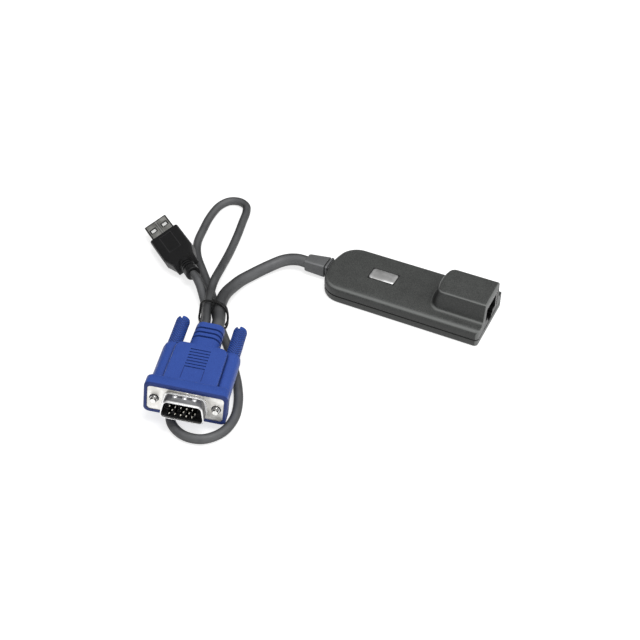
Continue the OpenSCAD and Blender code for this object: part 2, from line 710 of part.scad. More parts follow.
// Hood: rim, raised middle, two sleeves and the relief, hollow where the screws run
seat_y = 2 * plate_t + 2 * seat_gap;  // seat of the two plates
rim_front = -0.3;
sleeve_r = sleeve_d / 2;
sleeve_past = 0.5;
sleeve_end = hood_len + sleeve_past;
well_r = knob_d / 2 + run_gap;        // bore that the knob dips into
knob_dip = 1;                         // how far the drawn back knob dips into the sleeve
knob_y = sleeve_end - knob_dip;       // front face of the knob, drawn back
well_y = knob_y - screw_travel - 2 * run_gap;
clip_t = 0.7;
clip_r = 2.2;
pocket_wall = 0.8;
pocket_y1 = well_y - pocket_wall;     // rear end of the clip's pocket
pocket_y0 = pocket_y1 - clip_t - screw_travel - 2 * run_gap;
clip_y = pocket_y1 - run_gap - clip_t; // front face of the clip, drawn back
relief_end = hood_len + relief_len;
usb_entry = [-3.1, 0];                // middle of the thin cable in the relief's tip
main_entry = [2.1, 0];
grip_count = 7;
grip_x = 4.2;
grip_y0 = 14.8;
grip_step = 1.9;
grip_line = 0.7;
grip_deep = 0.35;
function grip_hh(y) = let (t = (y - rim_len) / (hood_len - rim_len))
    (grip_h + (grip_rear_h - grip_h) * t) / 2;
module hood_middle() {
    r = 2.8;
    edge = 1;
    loft(concat([for (y = [rim_len / 2, rim_len]) at_y(soft_box(grip_w / 2, grip_hh(y), edge), y)],
        [for (a = [0:18:90]) let (y = hood_len - r + r * sin(a), back = r * (1 - cos(a)))
            at_y(soft_box(grip_w / 2 - back, grip_hh(y) - (a < 90 ? 0 : edge / 2), edge), y)]));
}
module hood_relief() {
    function cut(t, off) = at_y(soft_box(
        (relief_w + (relief_tip_w - relief_w) * t) / 2 - off,
        (relief_h + (relief_tip_h - relief_h) * t) / 2 - off,
        (relief_h + (relief_tip_h - relief_h) * t) / 2 - off - groove), hood_len + relief_len * t);
    cut_deep = 0.8;
    flank = 0.012;
    // three grooves near the tip, each a little narrower than the rings between
    groove_shares = [[0.35, 0.42], [0.53, 0.6], [0.71, 0.78]];
    loft(concat([cut(-0.1, 0), cut(0, 0)],
        [for (g = groove_shares) each [cut(g[0], 0), cut(g[0] + flank, cut_deep),
            cut(g[1] - flank, cut_deep), cut(g[1], 0)]],
        [cut(0.975, 0), cut(1, cut_deep / 2)]));
}
module hood_sleeve(s) {
    x = s * screw_gap / 2;
    mouth_len = 1.6;                  // the sleeve narrows over this length to a thin edge
    edge_t = 0.35;
    rod_y(sleeve_r, rim_len / 2, sleeve_end - mouth_len, x);
    translate([x, sleeve_end, 0]) rotate([90, 0, 0])
        cylinder(r1 = well_r + edge_t, r2 = sleeve_r, h = mouth_len + seat_gap, $fn = round_fn);
    web_short = 4.5;                  // the web to the middle ends this far before the root
    block([min(x, s * grip_w / 4), rim_len / 2, -sleeve_r * 0.72],
        [max(x, s * grip_w / 4), hood_len - web_short, sleeve_r * 0.72]);
}
module hood_rim() {
    hw = rim_w / 2;
    hh = rim_h / 2;
    r = 2.2;
    edge = 0.9;
    loft([at_y(soft_box(hw - edge / 2, hh - edge / 2, r), rim_front),
        at_y(soft_box(hw, hh, r), rim_front + edge / 2),
        at_y(soft_box(hw, hh, r), rim_len - edge),
        at_y(soft_box(hw - edge / 3, hh - edge / 3, r), rim_len - edge / 3),
        at_y(soft_box(hw - edge, hh - edge, r), rim_len)]);
}
module video_hood() {
    color([0.23, 0.34, 0.65]) at_video() difference() {
        union() {
            hood_rim();
            hood_middle();
            hood_relief();
            for (s = [-1, 1]) hood_sleeve(s);
        }
        // seat of the plates and the room behind them
        extrude_y(soft_box(plate_w / 2 + seat_gap, plate_h / 2 + seat_gap, 2 * plate_t),
            rim_front - over, seat_y);
        extrude_y(soft_box(cavity_hw, cavity_hh, shroud_r), seat_y - over, cavity_end);
        for (s = [-1, 1]) {
            x = s * screw_gap / 2;
            rod_y(jackscrew_hole, 0, sleeve_end, x);
            rod_y(clip_r + run_gap, pocket_y0, pocket_y1, x);
            rod_y(well_r, well_y, sleeve_end + over, x);
        }
        for (face = [-1, 1]) {
            for (i = [0:grip_count - 1]) {
                y = grip_y0 + i * grip_step;
                z = grip_hh(y) - grip_deep;
                block([-grip_x, y - grip_line / 2, min(face * z, face * (z + over))],
                    [grip_x, y + grip_line / 2, max(face * z, face * (z + over))]);
            }
        }
    }
}

// Thumbscrews: a knob moulded on a shaft, whose neck turns in a clip
neck_r = 1;
neck_gap = 0.1;
grip_share = 0.6;                     // share of the knob that the shaft fills
module thumb_knob(s) {
    x = s * screw_gap / 2;
    r = knob_d / 2;
    edge = 0.5;
    y1 = knob_y + knob_len;
    slot_w = 1.5;
    slot_deep = 2.1;
    slot_turn = -20;                  // how the knob happens to stand
    color([0.22, 0.33, 0.63]) at_video() difference() {
        translate([x, knob_y, 0]) rotate([-90, 0, 0]) rotate_extrude($fn = round_fn)
            polygon([[0, 0], [r - edge, 0], [r, edge], [r, knob_len - 2 * edge],
                [r - edge * 0.4, knob_len - edge * 0.7], [r - 1.4 * edge, knob_len], [0, knob_len]]);
        rod_y(shaft_d / 2 + seat_gap, knob_y - over, knob_y + knob_len * grip_share + seat_gap, x);
        translate([x, y1, 0]) rotate([0, slot_turn, 0])
            block([-slot_w / 2, -slot_deep, -r - over], [slot_w / 2, over, r + over]);
    }
}
module thumb_shaft(s) {
    x = s * screw_gap / 2;
    r = shaft_d / 2;
    tip = 0.6;
    color([0.8, 0.8, 0.8]) at_video() translate([x, 0, 0]) difference() {
        union() {
            translate([0, tip - thread_out, 0]) rotate([90, 0, 0])
                cylinder(r1 = r, r2 = r - tip / 2, h = tip, $fn = round_fn);
            rod_y(r, tip - thread_out, knob_y + knob_len * grip_share);
        }
        difference() {
            rod_y(r + over, clip_y - neck_gap, clip_y + clip_t + neck_gap);
            rod_y(neck_r, clip_y - over, clip_y + clip_t + over);
        }
    }
}
module retaining_clip(s) {
    x = s * screw_gap / 2;
    gap = 1.5;
    color([0.6, 0.6, 0.62]) at_video() translate([x, 0, 0]) difference() {
        rod_y(clip_r, clip_y, clip_y + clip_t);
        rod_y(neck_r + neck_gap / 2, clip_y - over, clip_y + clip_t + over);
        block([-gap / 2, clip_y - over, 0], [gap / 2, clip_y + clip_t + over, clip_r + over]);
    }
}

// USB plug, in its own frame: Y points out of the mouth of the metal shell
usb_seat = 6;                         // length of shell and tongue inside the grip
window_w = 2.5;
window_l = 2.5;
window_x = 3.1;
window_back = 5.7;                    // from the mouth to the windows' middle
window_y = usb_len - window_back;
tongue_t = 1.85;
contact_usb_w = 1.1;
usb_places = [-3.5, -1, 1, 3.5];
module usb_shell() {
    hw = usb_w / 2;
    hh = usb_h / 2;
    r = usb_corner;
    color([0.8, 0.79, 0.76]) at_usb() difference() {
        extrude_y(soft_box(hw, hh, r), -usb_seat, usb_len);
        extrude_y(soft_box(hw - usb_sheet, hh - usb_sheet, r - usb_sheet / 2),
            -usb_seat - over, usb_len + over);
        for (s = [-1, 1]) block([s * window_x - window_w / 2, window_y - window_l / 2, -hh - over],
            [s * window_x + window_w / 2, window_y + window_l / 2, hh + over]);
    }
}
usb_high = usb_h / 2 - usb_sheet - seat_gap; // the tongue lies against the upper sheet
usb_low = usb_high - tongue_t;
module usb_tongue() {
    hw = usb_w / 2 - usb_sheet - seat_gap;
    color([0.92, 0.92, 0.9]) at_usb() difference() {
        union() {
            block([-hw + groove, -usb_seat, usb_low], [hw - groove, usb_len - groove, usb_high]);
            block([-hw + groove, -usb_seat, -usb_high], [hw - groove, -usb_seat / 2, usb_high]);
        }
        for (x = usb_places) block([x - contact_usb_w / 2, -usb_seat / 2 + over, usb_low - over],
            [x + contact_usb_w / 2, usb_len - 2 * over, usb_low + groove]);
    }
}
module usb_contacts() {
    color([0.87, 0.7, 0.3]) at_usb() for (x = usb_places)
        block([x - contact_usb_w / 2 + seat_gap, -usb_seat / 2 + over + seat_gap, usb_low - seat_gap],
            [x + contact_usb_w / 2 - seat_gap, usb_len - 2 * over - seat_gap, usb_low + groove - seat_gap]);
}
tail_r = 3.3;
tail_wall = 1.5;
tail_tip_r = usb_d / 2 + tail_wall;
usb_corner = 0.5;                     // corner radius of the metal shell
corner_len = 7.6;                     // length of the grip's sloping rear corners
corner_in = 2.3;                      // how far they draw in
rear_slope = 2;                       // the rear face leans by this much
module usb_grip() {
    hw = grip_usb_w / 2;
    hh = grip_usb_h / 2;
    r = 1.3;
    rib = 0.5;
    rear = -grip_usb_len;
    function cut(y, w, top, low, c) = at_y(soft_box(w, (top + low) / 2, c), y, [0, (top - low) / 2]);
    function tail(y, off) = let (q = tail_r + (tail_tip_r - tail_r) * (rear - y) / tail_len - off)
        cut(y, q, q, q, q - groove / 2);
    // start and end of the relief's grooves, behind the grip's rear
    groove_shares = [[0.06, 0.13], [0.25, 0.33], [0.47, 0.56]];
    panel_l = grip_usb_len * 0.5;
    panel_w = grip_usb_w * 0.4;
    color([0.07, 0.07, 0.08]) at_usb() difference() {
        union() {
            loft([cut(rear, hw - corner_in - rib, 3.5 * rib - hh, hh - rib, rib * 0.8),
                cut(rear + rib / 2, hw - corner_in, 5 * rib - hh, hh, rib),
                cut(rear + rear_slope, hw - corner_in + rib / 2, hh, hh, r),
                cut(rear + corner_len, hw - rib / 2, hh, hh, r),
                cut(rear + corner_len + rib, hw, hh, hh, r),
                cut(-rib, hw, hh, hh, r), cut(0, hw - rib, hh - rib, hh - rib, r - rib / 2)]);
            loft(concat([tail(rear - tail_len, rib / 2), tail(rear - tail_len + rib / 2, 0)],
                [for (k = [2:-1:0]) let (g = groove_shares[k]) each [
                    tail(rear - tail_len * g[1], 0), tail(rear - tail_len * g[1] + rib / 4, rib),
                    tail(rear - tail_len * g[0] - rib / 4, rib), tail(rear - tail_len * g[0], 0)]],
                [tail(rear + rear_slope + rib, 0)]));
        }
        extrude_y(soft_box(usb_w / 2 + seat_gap, usb_h / 2 + seat_gap, usb_corner),
            -usb_seat - seat_gap, over);
        extrude_z_panel(panel_w, panel_l, hh - rib * 0.4, -grip_usb_len * 0.35);
    }
}
module extrude_z_panel(w, l, z, y) {
    translate([0, y, z]) linear_extrude(over) polygon(soft_box(w / 2, l / 2, w / 6));
}

// Routes of the cables: round numbers chosen along the real ones. Their ends
// come from the pieces that hold them.
function on_video(p) = video_pos + turned(p, video_turn);
function on_usb(p) = usb_pos + turned(p, usb_turn);
main_sides = 12;                      // sides of the cables' cross sections
thin_sides = 8;
main_ends = [[boot_tip_x, boot_drift, boot_tip_z], on_video([main_entry[0], relief_end, main_entry[1]]),
    on_video([main_entry[0], relief_end + main_d, main_entry[1]])];
main_route = concat([main_ends[0], main_ends[0] - [main_d * 0.7, 0, 0]],
    [[-58.9, -2.4, 4.6], [-62.2, -4.8, 4.1], [-65.3, -8.8, 3.5], [-68.1, -13.4, 3.1], [-70.6, -18.7, 3],
    [-72.5, -24.8, 3.6], [-73.1, -31.5, 4.6], [-72.8, -37.5, 5.9], [-71.4, -43.4, 7.3], [-68.9, -49.8, 8.7]],
    [main_ends[2], main_ends[1]]);
usb_ends = [on_video([usb_entry[0], relief_end, usb_entry[1]]),
    on_video([usb_entry[0], relief_end + usb_d, usb_entry[1]]),
    on_usb([0, -grip_usb_len - tail_len - usb_d, 0]), on_usb([0, -grip_usb_len - tail_len, 0])];
usb_route = concat([usb_ends[0], usb_ends[1]],
    [[-72.2, -55.4, 9.8], [-75.9, -47.3, 8.4], [-79.1, -40.5, 7], [-81.6, -33.2, 6.6], [-84.9, -21, 4.4],
    [-87.6, -10.8, 2.6], [-89.8, -2, 2], [-92.1, 7, 2], [-95, 17, 2], [-97.2, 24.4, 2], [-99.7, 28.6, 2],
    [-104.3, 30.3, 2], [-108.9, 28.6, 2], [-111.5, 23.4, 2], [-111.4, 14, 2], [-108.9, 2, 2],
    [-106, -8, 2], [-101, -16.4, 2], [-93, -25, 2], [-84.6, -33.6, 2], [-78, -40.9, 2.3],
    [-72.6, -48.2, 3.1], [-68.6, -53.2, 3.2], [-61.6, -60, 2.7], [-54.6, -67, 2], [-47.8, -75.2, 2],
    [-41.4, -83.4, 2], [-36.4, -91.8, 2], [-33.6, -100.2, 2], [-34.2, -108.8, 2], [-39.2, -115.2, 2],
    [-47, -116.9, 2], [-54.9, -113.4, 2], [-59.6, -105.6, 2], [-67.2, -80.8, 2], [-71.6, -64, 2.6],
    [-74.4, -54, 3.1], [-76.5, -50.2, 3.1], [-79.4, -45.8, 3.8], [-82.4, -42.4, 5],
    [-85.3, -39.4, 6.4]],
    [usb_ends[2], usb_ends[3]]);
module main_cable() { color([0.41, 0.41, 0.42]) tube(main_route, main_d / 2, main_sides); }
module usb_cable() { color([0.41, 0.41, 0.42]) tube(usb_route, usb_d / 2, thin_sides); }
tie_route = [[-71.6, -51, 12.3], [-68.3, -51.1, 12.3], [-65.1, -51.4, 11.6], [-63.8, -52, 9.2],
    [-63.4, -52.8, 6], [-63.4, -53.8, 3], [-64.8, -54.8, 0.7], [-69.4, -55.2, 0.5], [-74.2, -55.6, 0.5],
    [-76.3, -55.3, 1.3], [-76.9, -54.9, 3.2], [-76.9, -54.2, 5], [-76.8, -53.4, 7.5],
    [-76.3, -52.9, 10.5], [-73.9, -52.5, 12.3], [-70.8, -52.2, 12.7], [-67.4, -52.3, 12.9],
    [-64.3, -52.9, 11.9], [-62.6, -53.8, 9.2], [-62.3, -54.9, 6.6], [-62.9, -56.2, 5]];
module cable_tie() { color([0.1, 0.1, 0.1]) tube(tie_route, tie_d / 2, thin_sides, [0, 1, 0]); }

top_shell();
bottom_shell();
housing_screws();
circuit_board();
jack_body();
jack_contacts();
jack_shield();
isolation_transformer();
main_processor();
video_digitizer();
quartz_crystal();
capacitors();
board_connector();
cable_wires();
cable_boot();
main_cable();
video_hood();
video_inner_mould();
video_front_shell();
video_rear_shell();
video_insulator();
video_pins();
thumb_knob(-1);  // left_knob
thumb_shaft(-1);  // left_screw_shaft
retaining_clip(-1);  // left_retaining_clip
thumb_knob(1);  // right_knob
thumb_shaft(1);  // right_screw_shaft
retaining_clip(1);  // right_retaining_clip
usb_cable();
usb_grip();
usb_shell();
usb_tongue();
usb_contacts();
cable_tie();
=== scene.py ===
# %% [markdown]
# # Looks of a small console adapter
#
# The object joins a server to a console switch: a dark housing with a network jack, a short
# thick cable to a blue video plug, and a thin cable to a USB plug. The CAD model gives every
# rigid piece its shape and place. This script loads it, gives each node a procedural material,
# replaces the parts whose real surface is finer than CAD needs (cables, tie, knurled knobs),
# adds threads and the bare badge plate, and sets the camera and the light.

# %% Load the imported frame
import math

import bmesh
import bpy
from mathutils import Euler, Matrix, Vector


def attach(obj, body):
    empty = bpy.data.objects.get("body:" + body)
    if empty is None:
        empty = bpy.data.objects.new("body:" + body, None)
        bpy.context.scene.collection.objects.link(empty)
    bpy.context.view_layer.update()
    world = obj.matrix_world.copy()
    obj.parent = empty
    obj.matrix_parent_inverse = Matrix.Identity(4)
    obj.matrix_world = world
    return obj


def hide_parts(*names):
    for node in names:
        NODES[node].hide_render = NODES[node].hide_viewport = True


MM = 0.001
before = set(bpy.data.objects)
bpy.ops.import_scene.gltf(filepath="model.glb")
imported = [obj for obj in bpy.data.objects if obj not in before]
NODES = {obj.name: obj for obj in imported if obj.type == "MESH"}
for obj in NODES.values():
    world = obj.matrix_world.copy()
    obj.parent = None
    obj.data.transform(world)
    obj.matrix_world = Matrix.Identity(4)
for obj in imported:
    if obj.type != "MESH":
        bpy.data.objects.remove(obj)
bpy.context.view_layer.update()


# %% [markdown]
# ## Places of the two plugs
#
# On the real object both plugs lie tilted on the table, as their cables hold them. Their
# details are easiest to write in a frame of their own: x across, y along the plug, z up
# through its flat side. These are the same two frames as in the CAD source.

# %% Frames of the two plugs
def plug_frame(place, turns):
    """A frame from its place in millimetres and its turns in degrees."""
    turned = Euler([math.radians(a) for a in turns]).to_matrix().to_4x4()
    return Matrix.Translation(Vector(place) * MM) @ turned


VIDEO = plug_frame((-49.3, -110.4, 13), (-3.1, 6.8, 17.7))
USB = plug_frame((-119.3, -14.7, 6), (-2.1, -21, 55.4))
print("the video plug faces", [round(-v, 2) for v in VIDEO.col[1][:3]])
print("the USB plug faces", [round(v, 2) for v in USB.col[1][:3]])


# %% [markdown]
# ## Building blocks for node trees
#
# A material is a tree of nodes. Adding each node by hand takes several lines, so small helpers
# do it in one: a value that is a socket gets linked, a plain value gets typed in. The same
# helpers serve shader groups and geometry nodes, because both kinds of tree work alike.

# %% Helpers that add and link nodes
def wire(tree, target, value):
    if isinstance(value, bpy.types.NodeSocket):
        tree.links.new(value, target)
    else:
        target.default_value = value


def put(tree, kind, settings=None, **values):
    """Adds one node. The inputs are named, or are i0, i1 and so on by their place."""
    node = tree.nodes.new(kind)
    for name, value in (settings or {}).items():
        setattr(node, name, value)
    for name, value in values.items():
        by_place = name[0] == "i" and name[1:].isdigit()
        wire(tree, node.inputs[int(name[1:]) if by_place else name.replace("_", " ")], value)
    return node


def group(name, inputs, outputs, kind="ShaderNodeTree"):
    """A new group with its sockets, as its tree, what it takes in and what it gives out."""
    tree = bpy.data.node_groups.new(name, kind)
    for label, (socket, value) in inputs.items():
        made = tree.interface.new_socket(label, in_out="INPUT", socket_type=socket)
        if value is not None:
            made.default_value = value
    for label, socket in outputs.items():
        tree.interface.new_socket(label, in_out="OUTPUT", socket_type=socket)
    gin, gout = tree.nodes.new("NodeGroupInput"), tree.nodes.new("NodeGroupOutput")
    return tree, gin.outputs, gout.inputs


def use(tree, made, **values):
    """Places a group in a tree with its own values, and gives its outputs."""
    node = tree.nodes.new("ShaderNodeGroup")
    node.node_tree = made
    for name, value in values.items():
        wire(tree, node.inputs[name.replace("_", " ")], value)
    return node.outputs


print("node helpers ready")


# %% [markdown]
# ### Sums on sockets
#
# Masks are made by plain sums: how far from a centre, how much of a band, this times that.
# Each is a Math or Map Range node. With a short name for each sum a mask reads like a sentence.

# %% Helpers for sums and places
def maths(tree, operation, a, b=0.0):
    return put(tree, "ShaderNodeMath", {"operation": operation}, i0=a, i1=b).outputs[0]


def times(tree, first, *others):
    for other in others:
        first = maths(tree, "MULTIPLY", first, other)
    return first


def off_centre(tree, value, centre=None):
    """How far a value is from a centre, on either side. No centre means zero."""
    if centre is not None:
        value = maths(tree, "SUBTRACT", value, centre)
    return maths(tree, "ABSOLUTE", value)


def past_edge(tree, point, centre, half):
    """How far a point lies outside a rectangle with this centre and these half sizes."""
    return maths(tree, "MAXIMUM", *(maths(tree, "SUBTRACT", off_centre(tree, *at), reach)
                                    for *at, reach in zip(point, centre, half)))


def remap(tree, value, low, high, to_low=0.0, to_high=1.0):
    return put(tree, "ShaderNodeMapRange", {"interpolation_type": "SMOOTHSTEP"},
               i0=value, i1=low, i2=high, i3=to_low, i4=to_high).outputs[0]


def mix(tree, factor, a, b):
    return put(tree, "ShaderNodeMix", {"data_type": "RGBA"}, i0=factor, i6=a, i7=b).outputs[2]


def dot(tree, a, b):
    return put(tree, "ShaderNodeVectorMath", {"operation": "DOT_PRODUCT"}, i0=a, i1=b).outputs[1]


def where(tree, kind="Object"):
    return put(tree, "ShaderNodeTexCoord").outputs[kind]


def apart(tree, vector):
    return put(tree, "ShaderNodeSeparateXYZ", Vector=vector).outputs


def object_mm(tree):
    """The place in the object's own coordinates, in millimetres."""
    return [maths(tree, "DIVIDE", part, MM) for part in apart(tree, where(tree))]


print("helpers for sums ready")


# %% [markdown]
# ## Shared effects
#
# Several real surfaces share causes: the same mould grain, the same handling, the same shade in
# grooves. Each cause becomes one group. A group could also give finished colours, but then every
# material would look alike, so groups give only values, masks and heights.
#
# The first is the spark texture that the mould leaves on a moulding, with a slow, faint drift
# of colour. The second marks scuffs and fingerprints, which change gloss. Pictures of grain
# would need unwrapping. Noise on Object coordinates keeps its size in millimetres everywhere.

# %% Groups for grain and wear
FLOAT = "NodeSocketFloat"


def noise_mm(tree, size, **values):
    scale = maths(tree, "DIVIDE", 1 / MM, size)
    return put(tree, "ShaderNodeTexNoise", Vector=where(tree), Scale=scale, **values).outputs[0]


def make_moulded():
    tree, gin, gout = group("moulded", {"Grain mm": (FLOAT, 0.35), "Drift mm": (FLOAT, 6.0)},
                            {"Grain": FLOAT, "Drift": FLOAT})
    wire(tree, gout["Grain"], noise_mm(tree, gin["Grain mm"], Detail=3.0, Roughness=0.6))
    wire(tree, gout["Drift"], noise_mm(tree, gin["Drift mm"], Detail=2.0, Roughness=0.5))
    return tree


def make_wear():
    tree, gin, gout = group("wear", {"Size mm": (FLOAT, 9.0)}, {"Mask": FLOAT})
    blotch = noise_mm(tree, gin["Size mm"], Detail=6.0, Roughness=0.65, Distortion=0.6)
    wire(tree, gout["Mask"], remap(tree, blotch, 0.45, 0.7))
    return tree


MOULDED, WEAR = make_moulded(), make_wear()
print("groups:", MOULDED.name, WEAR.name)


# %% [markdown]
# ### Recesses, bands and places
#
# Grooves and gaps of a real part look darker than its open faces, because less light gets in.
# Ambient occlusion measures that: it is 1 in the open and falls in deep corners, and the looks
# paint shade with it. A stripe marks a band between two values with soft ends, for lips, seams and
# joints.
# A plug's place turns a point into millimetres in that plug's frame, so that a mask can be
# written with the plug's real sizes however the plug lies.

# %% Groups for recesses, bands and the plugs' places
def make_open_air():
    tree, gin, gout = group("open_air", {"Reach mm": (FLOAT, 1.5)}, {"Open": FLOAT})
    near = put(tree, "ShaderNodeAmbientOcclusion", {"samples": 6},
               Distance=times(tree, gin["Reach mm"], MM))
    wire(tree, gout["Open"], near.outputs["AO"])
    return tree


def make_stripe():
    tree, gin, gout = group("stripe", {"Value": (FLOAT, 0.0), "From": (FLOAT, 0.0),
                                       "To": (FLOAT, 1.0), "Soft": (FLOAT, 0.1)}, {"Mask": FLOAT})
    start, end = ([maths(tree, kind, gin[name], gin["Soft"]) for kind in ("SUBTRACT", "ADD")]
                  for name in ("From", "To"))
    wire(tree, gout["Mask"], times(tree, remap(tree, gin["Value"], *start),
                                   remap(tree, gin["Value"], *end, 1.0, 0.0)))
    return tree


def make_plug_place(name, matrix):
    tree, gin, gout = group(name, {}, dict.fromkeys("XYZ", FLOAT))
    away = put(tree, "ShaderNodeVectorMath", {"operation": "SUBTRACT"}, i0=where(tree),
               i1=matrix.to_translation()).outputs[0]
    for k, label in enumerate("XYZ"):
        wire(tree, gout[label], dot(tree, away, matrix.col[k].to_3d().normalized() / MM))
    return tree


OPEN_AIR, STRIPE = make_open_air(), make_stripe()
VIDEO_PLACE = make_plug_place("video_place", VIDEO)
USB_PLACE = make_plug_place("usb_place", USB)


def stripe(tree, value, low, high, soft=0.1):
    return use(tree, STRIPE, Value=value, From=low, To=high, Soft=soft)["Mask"]


print("groups:", OPEN_AIR.name, STRIPE.name, VIDEO_PLACE.name, USB_PLACE.name)


# %% [markdown]
# ## Materials
#
# The housing is a grained grey plastic, the hood is coloured through, and the small parts are
# plated steel or brass. Colours are written as a picture editor shows them and made linear
# here. Paint is laid over what is there, so the order of the lines is the order of the coats.

# %% Helpers for colours and coats
LOOKS = {}


def rgb(r, g, b):
    """A colour from 0 to 255, made linear."""
    def line(c):
        c /= 255
        return c / 12.92 if c < 0.04045 else ((c + 0.055) / 1.055) ** 2.4
    return (line(r), line(g), line(b), 1)


def grey(level):
    return rgb(level, level, level)


def blank(name):
    """A new look, as its node tree and the inputs of its shader."""
    LOOKS[name] = bpy.data.materials.new(name)
    LOOKS[name].use_nodes = True
    tree = LOOKS[name].node_tree
    return tree, tree.nodes["Principled BSDF"].inputs


def paint(tree, shader, factor, colour):
    """Lays a colour over the base colour where the factor says so."""
    before = shader["Base Color"].links[0].from_socket
    wire(tree, shader["Base Color"], mix(tree, factor, before, colour))


def darken_rim(tree, shader, amount, start, shade=0.15, full=0.95):
    """Paints shade on surfaces seen nearly edge on, as the reflection of a dark room."""
    turned = put(tree, "ShaderNodeLayerWeight", Blend=0.5).outputs["Facing"]
    before = shader["Base Color"].links[0].from_socket
    dim = put(tree, "ShaderNodeVectorMath", {"operation": "SCALE"}, i0=before, Scale=shade)
    paint(tree, shader, remap(tree, turned, start, full, 0.0, amount), dim.outputs[0])


def emboss(tree, shader, depth, height):
    bump = put(tree, "ShaderNodeBump", Strength=1.0, Distance=depth * MM, Height=height)
    wire(tree, shader["Normal"], bump.outputs[0])


print("a mid grey of 128 is", round(grey(128)[0], 3), "in linear light")


# %% [markdown]
# ### The two recipes
#
# A moulded plastic shows its grain twice: as height, which breaks up the gloss, and as colour,
# because the tops of the grain are rubbed lighter. A plated sheet is smoother, and shows a faint
# cloudy tint and patches of more and less polish. One recipe with a metal slider would be shorter,
# but plastics get painted shade in their recesses and metals do not.

# %% Recipes for plastic and metal
GRAIN_SHARE, DRIFT_SHARE = 0.85, 0.15
TONE_FROM, TONE_TO = 0.34, 0.66
RECESS_FROM, RECESS_TO, RECESS_SHADE = 0.25, 0.85, 0.12


def plastic(name, dark, light, grain, depth, rough=(0.45, 0.6), drift=7.0, gloss=0.4,
            recess=0.8, reach=1.5):
    """A moulding, from its two tones, its grain and grain depth in mm, and its roughness."""
    tree, shader = blank(name)
    skin = use(tree, MOULDED, Grain_mm=grain, Drift_mm=drift)
    tone = maths(tree, "ADD", times(tree, skin["Grain"], GRAIN_SHARE),
                 times(tree, skin["Drift"], DRIFT_SHARE))
    wire(tree, shader["Base Color"],
         mix(tree, remap(tree, tone, TONE_FROM, TONE_TO), dark, light))
    # painted shade in recesses, from ambient occlusion
    air = use(tree, OPEN_AIR, Reach_mm=reach)["Open"]
    paint(tree, shader, remap(tree, air, RECESS_FROM, RECESS_TO, recess, 0.0),
          tuple(RECESS_SHADE * c for c in dark[:3]) + (1,))
    worn = use(tree, WEAR)["Mask"]
    wire(tree, shader["Roughness"], remap(tree, worn, 0, 1, rough[1], rough[0]))
    wire(tree, shader["Specular IOR Level"], gloss)
    emboss(tree, shader, depth, skin["Grain"])
    return tree, shader


def metal(name, colour, tint, rough):
    """Plated sheet metal, from its two tones and its roughness."""
    tree, shader = blank(name)
    skin = use(tree, MOULDED, Grain_mm=0.5, Drift_mm=4.0)
    worn = use(tree, WEAR, Size_mm=5.0)["Mask"]
    wire(tree, shader["Base Color"],
         mix(tree, remap(tree, skin["Drift"], 0.35, 0.65), colour, tint))
    wire(tree, shader["Metallic"], 1.0)
    wire(tree, shader["Roughness"], remap(tree, worn, 0, 1, *rough))
    emboss(tree, shader, 0.004, skin["Grain"])
    return tree, shader


print("grain gives", GRAIN_SHARE, "of a plastic's tone")

# %% [markdown]
# ### The housing
#
# Two shells meet in a joint line, and a small plate sits in a shallow seat. The roundings come
# smoother out of the mould than the flats, so they are glossier. Paint by where the surface faces
# adds painted highlights on the roundings, on the corners and the face at the port end, and painted
# shade on the upright sides and the left end. The CAD shape decides where the light line runs, and
# it stays right if a rounding is changed.

# %% Look of the housing
BADGE, BADGE_HALF = (-12.6, 0.75), (6.1, 3.5)
JOINT_Z, JOINT_HALF, TOP_Z = 3.7, 0.4, 8.9
SHOULDER, FLANK = (0.5, 0.82, 0.14), (-0.2, 0.25, 0.15)
SHOULDER_HIGHLIGHT, EDGE_HIGHLIGHT, FLANK_SHADE = rgb(150, 152, 150), rgb(146, 148, 146), rgb(30, 31, 30)
SEAT_AND_SHADE_BLACK, JOINT_BLACK = grey(20), grey(4)

tree, shader = plastic("housing", rgb(54, 55, 54), rgb(82, 84, 82), 0.45, 0.015, gloss=0.5,
                       reach=2.5)
x, y, z = apart(tree, where(tree, "Normal"))
shoulder = stripe(tree, z, *SHOULDER)
wire(tree, shader["Roughness"], remap(tree, shoulder, 0, 1, 0.5, 0.27))
# painted highlight on the roundings
paint(tree, shader, times(tree, shoulder, 0.7), SHOULDER_HIGHLIGHT)
# painted shade on the upright sides
paint(tree, shader, times(tree, stripe(tree, z, *FLANK), 0.55), FLANK_SHADE)
# painted highlights on the corners and the face at the port end
corner = times(tree, x, off_centre(tree, y))
paint(tree, shader, remap(tree, corner, 0.15, 0.4, 0.0, 0.65), EDGE_HIGHLIGHT)
paint(tree, shader, remap(tree, x, 0.85, 0.97, 0.0, 0.6), EDGE_HIGHLIGHT)
# painted shade on the left end
paint(tree, shader, remap(tree, x, -0.85, -0.25, 0.8, 0.0), SEAT_AND_SHADE_BLACK)

place = object_mm(tree)
joint = stripe(tree, place[2], JOINT_Z - JOINT_HALF, JOINT_Z + JOINT_HALF)
paint(tree, shader, joint, JOINT_BLACK)
gap = stripe(tree, past_edge(tree, place[:2], BADGE, BADGE_HALF), -1.0, 0.45, 0.15)
on_top = stripe(tree, place[2], TOP_Z - 0.1, TOP_Z + 0.1, 0.02)
paint(tree, shader, times(tree, gap, on_top), SEAT_AND_SHADE_BLACK)
darken_rim(tree, shader, 0.5, 0.6)
print("housing look:", len(tree.nodes), "nodes")

# %% [markdown]
# ### Plain plastics and metals
#
# Most small pieces need no more than one of the two recipes with their own numbers: the black
# jack and insulator, the white tongue, the chips, the tie, and the plated and oxidised steels.
# A table keeps them side by side, so that it is easy to see which is darker or duller.

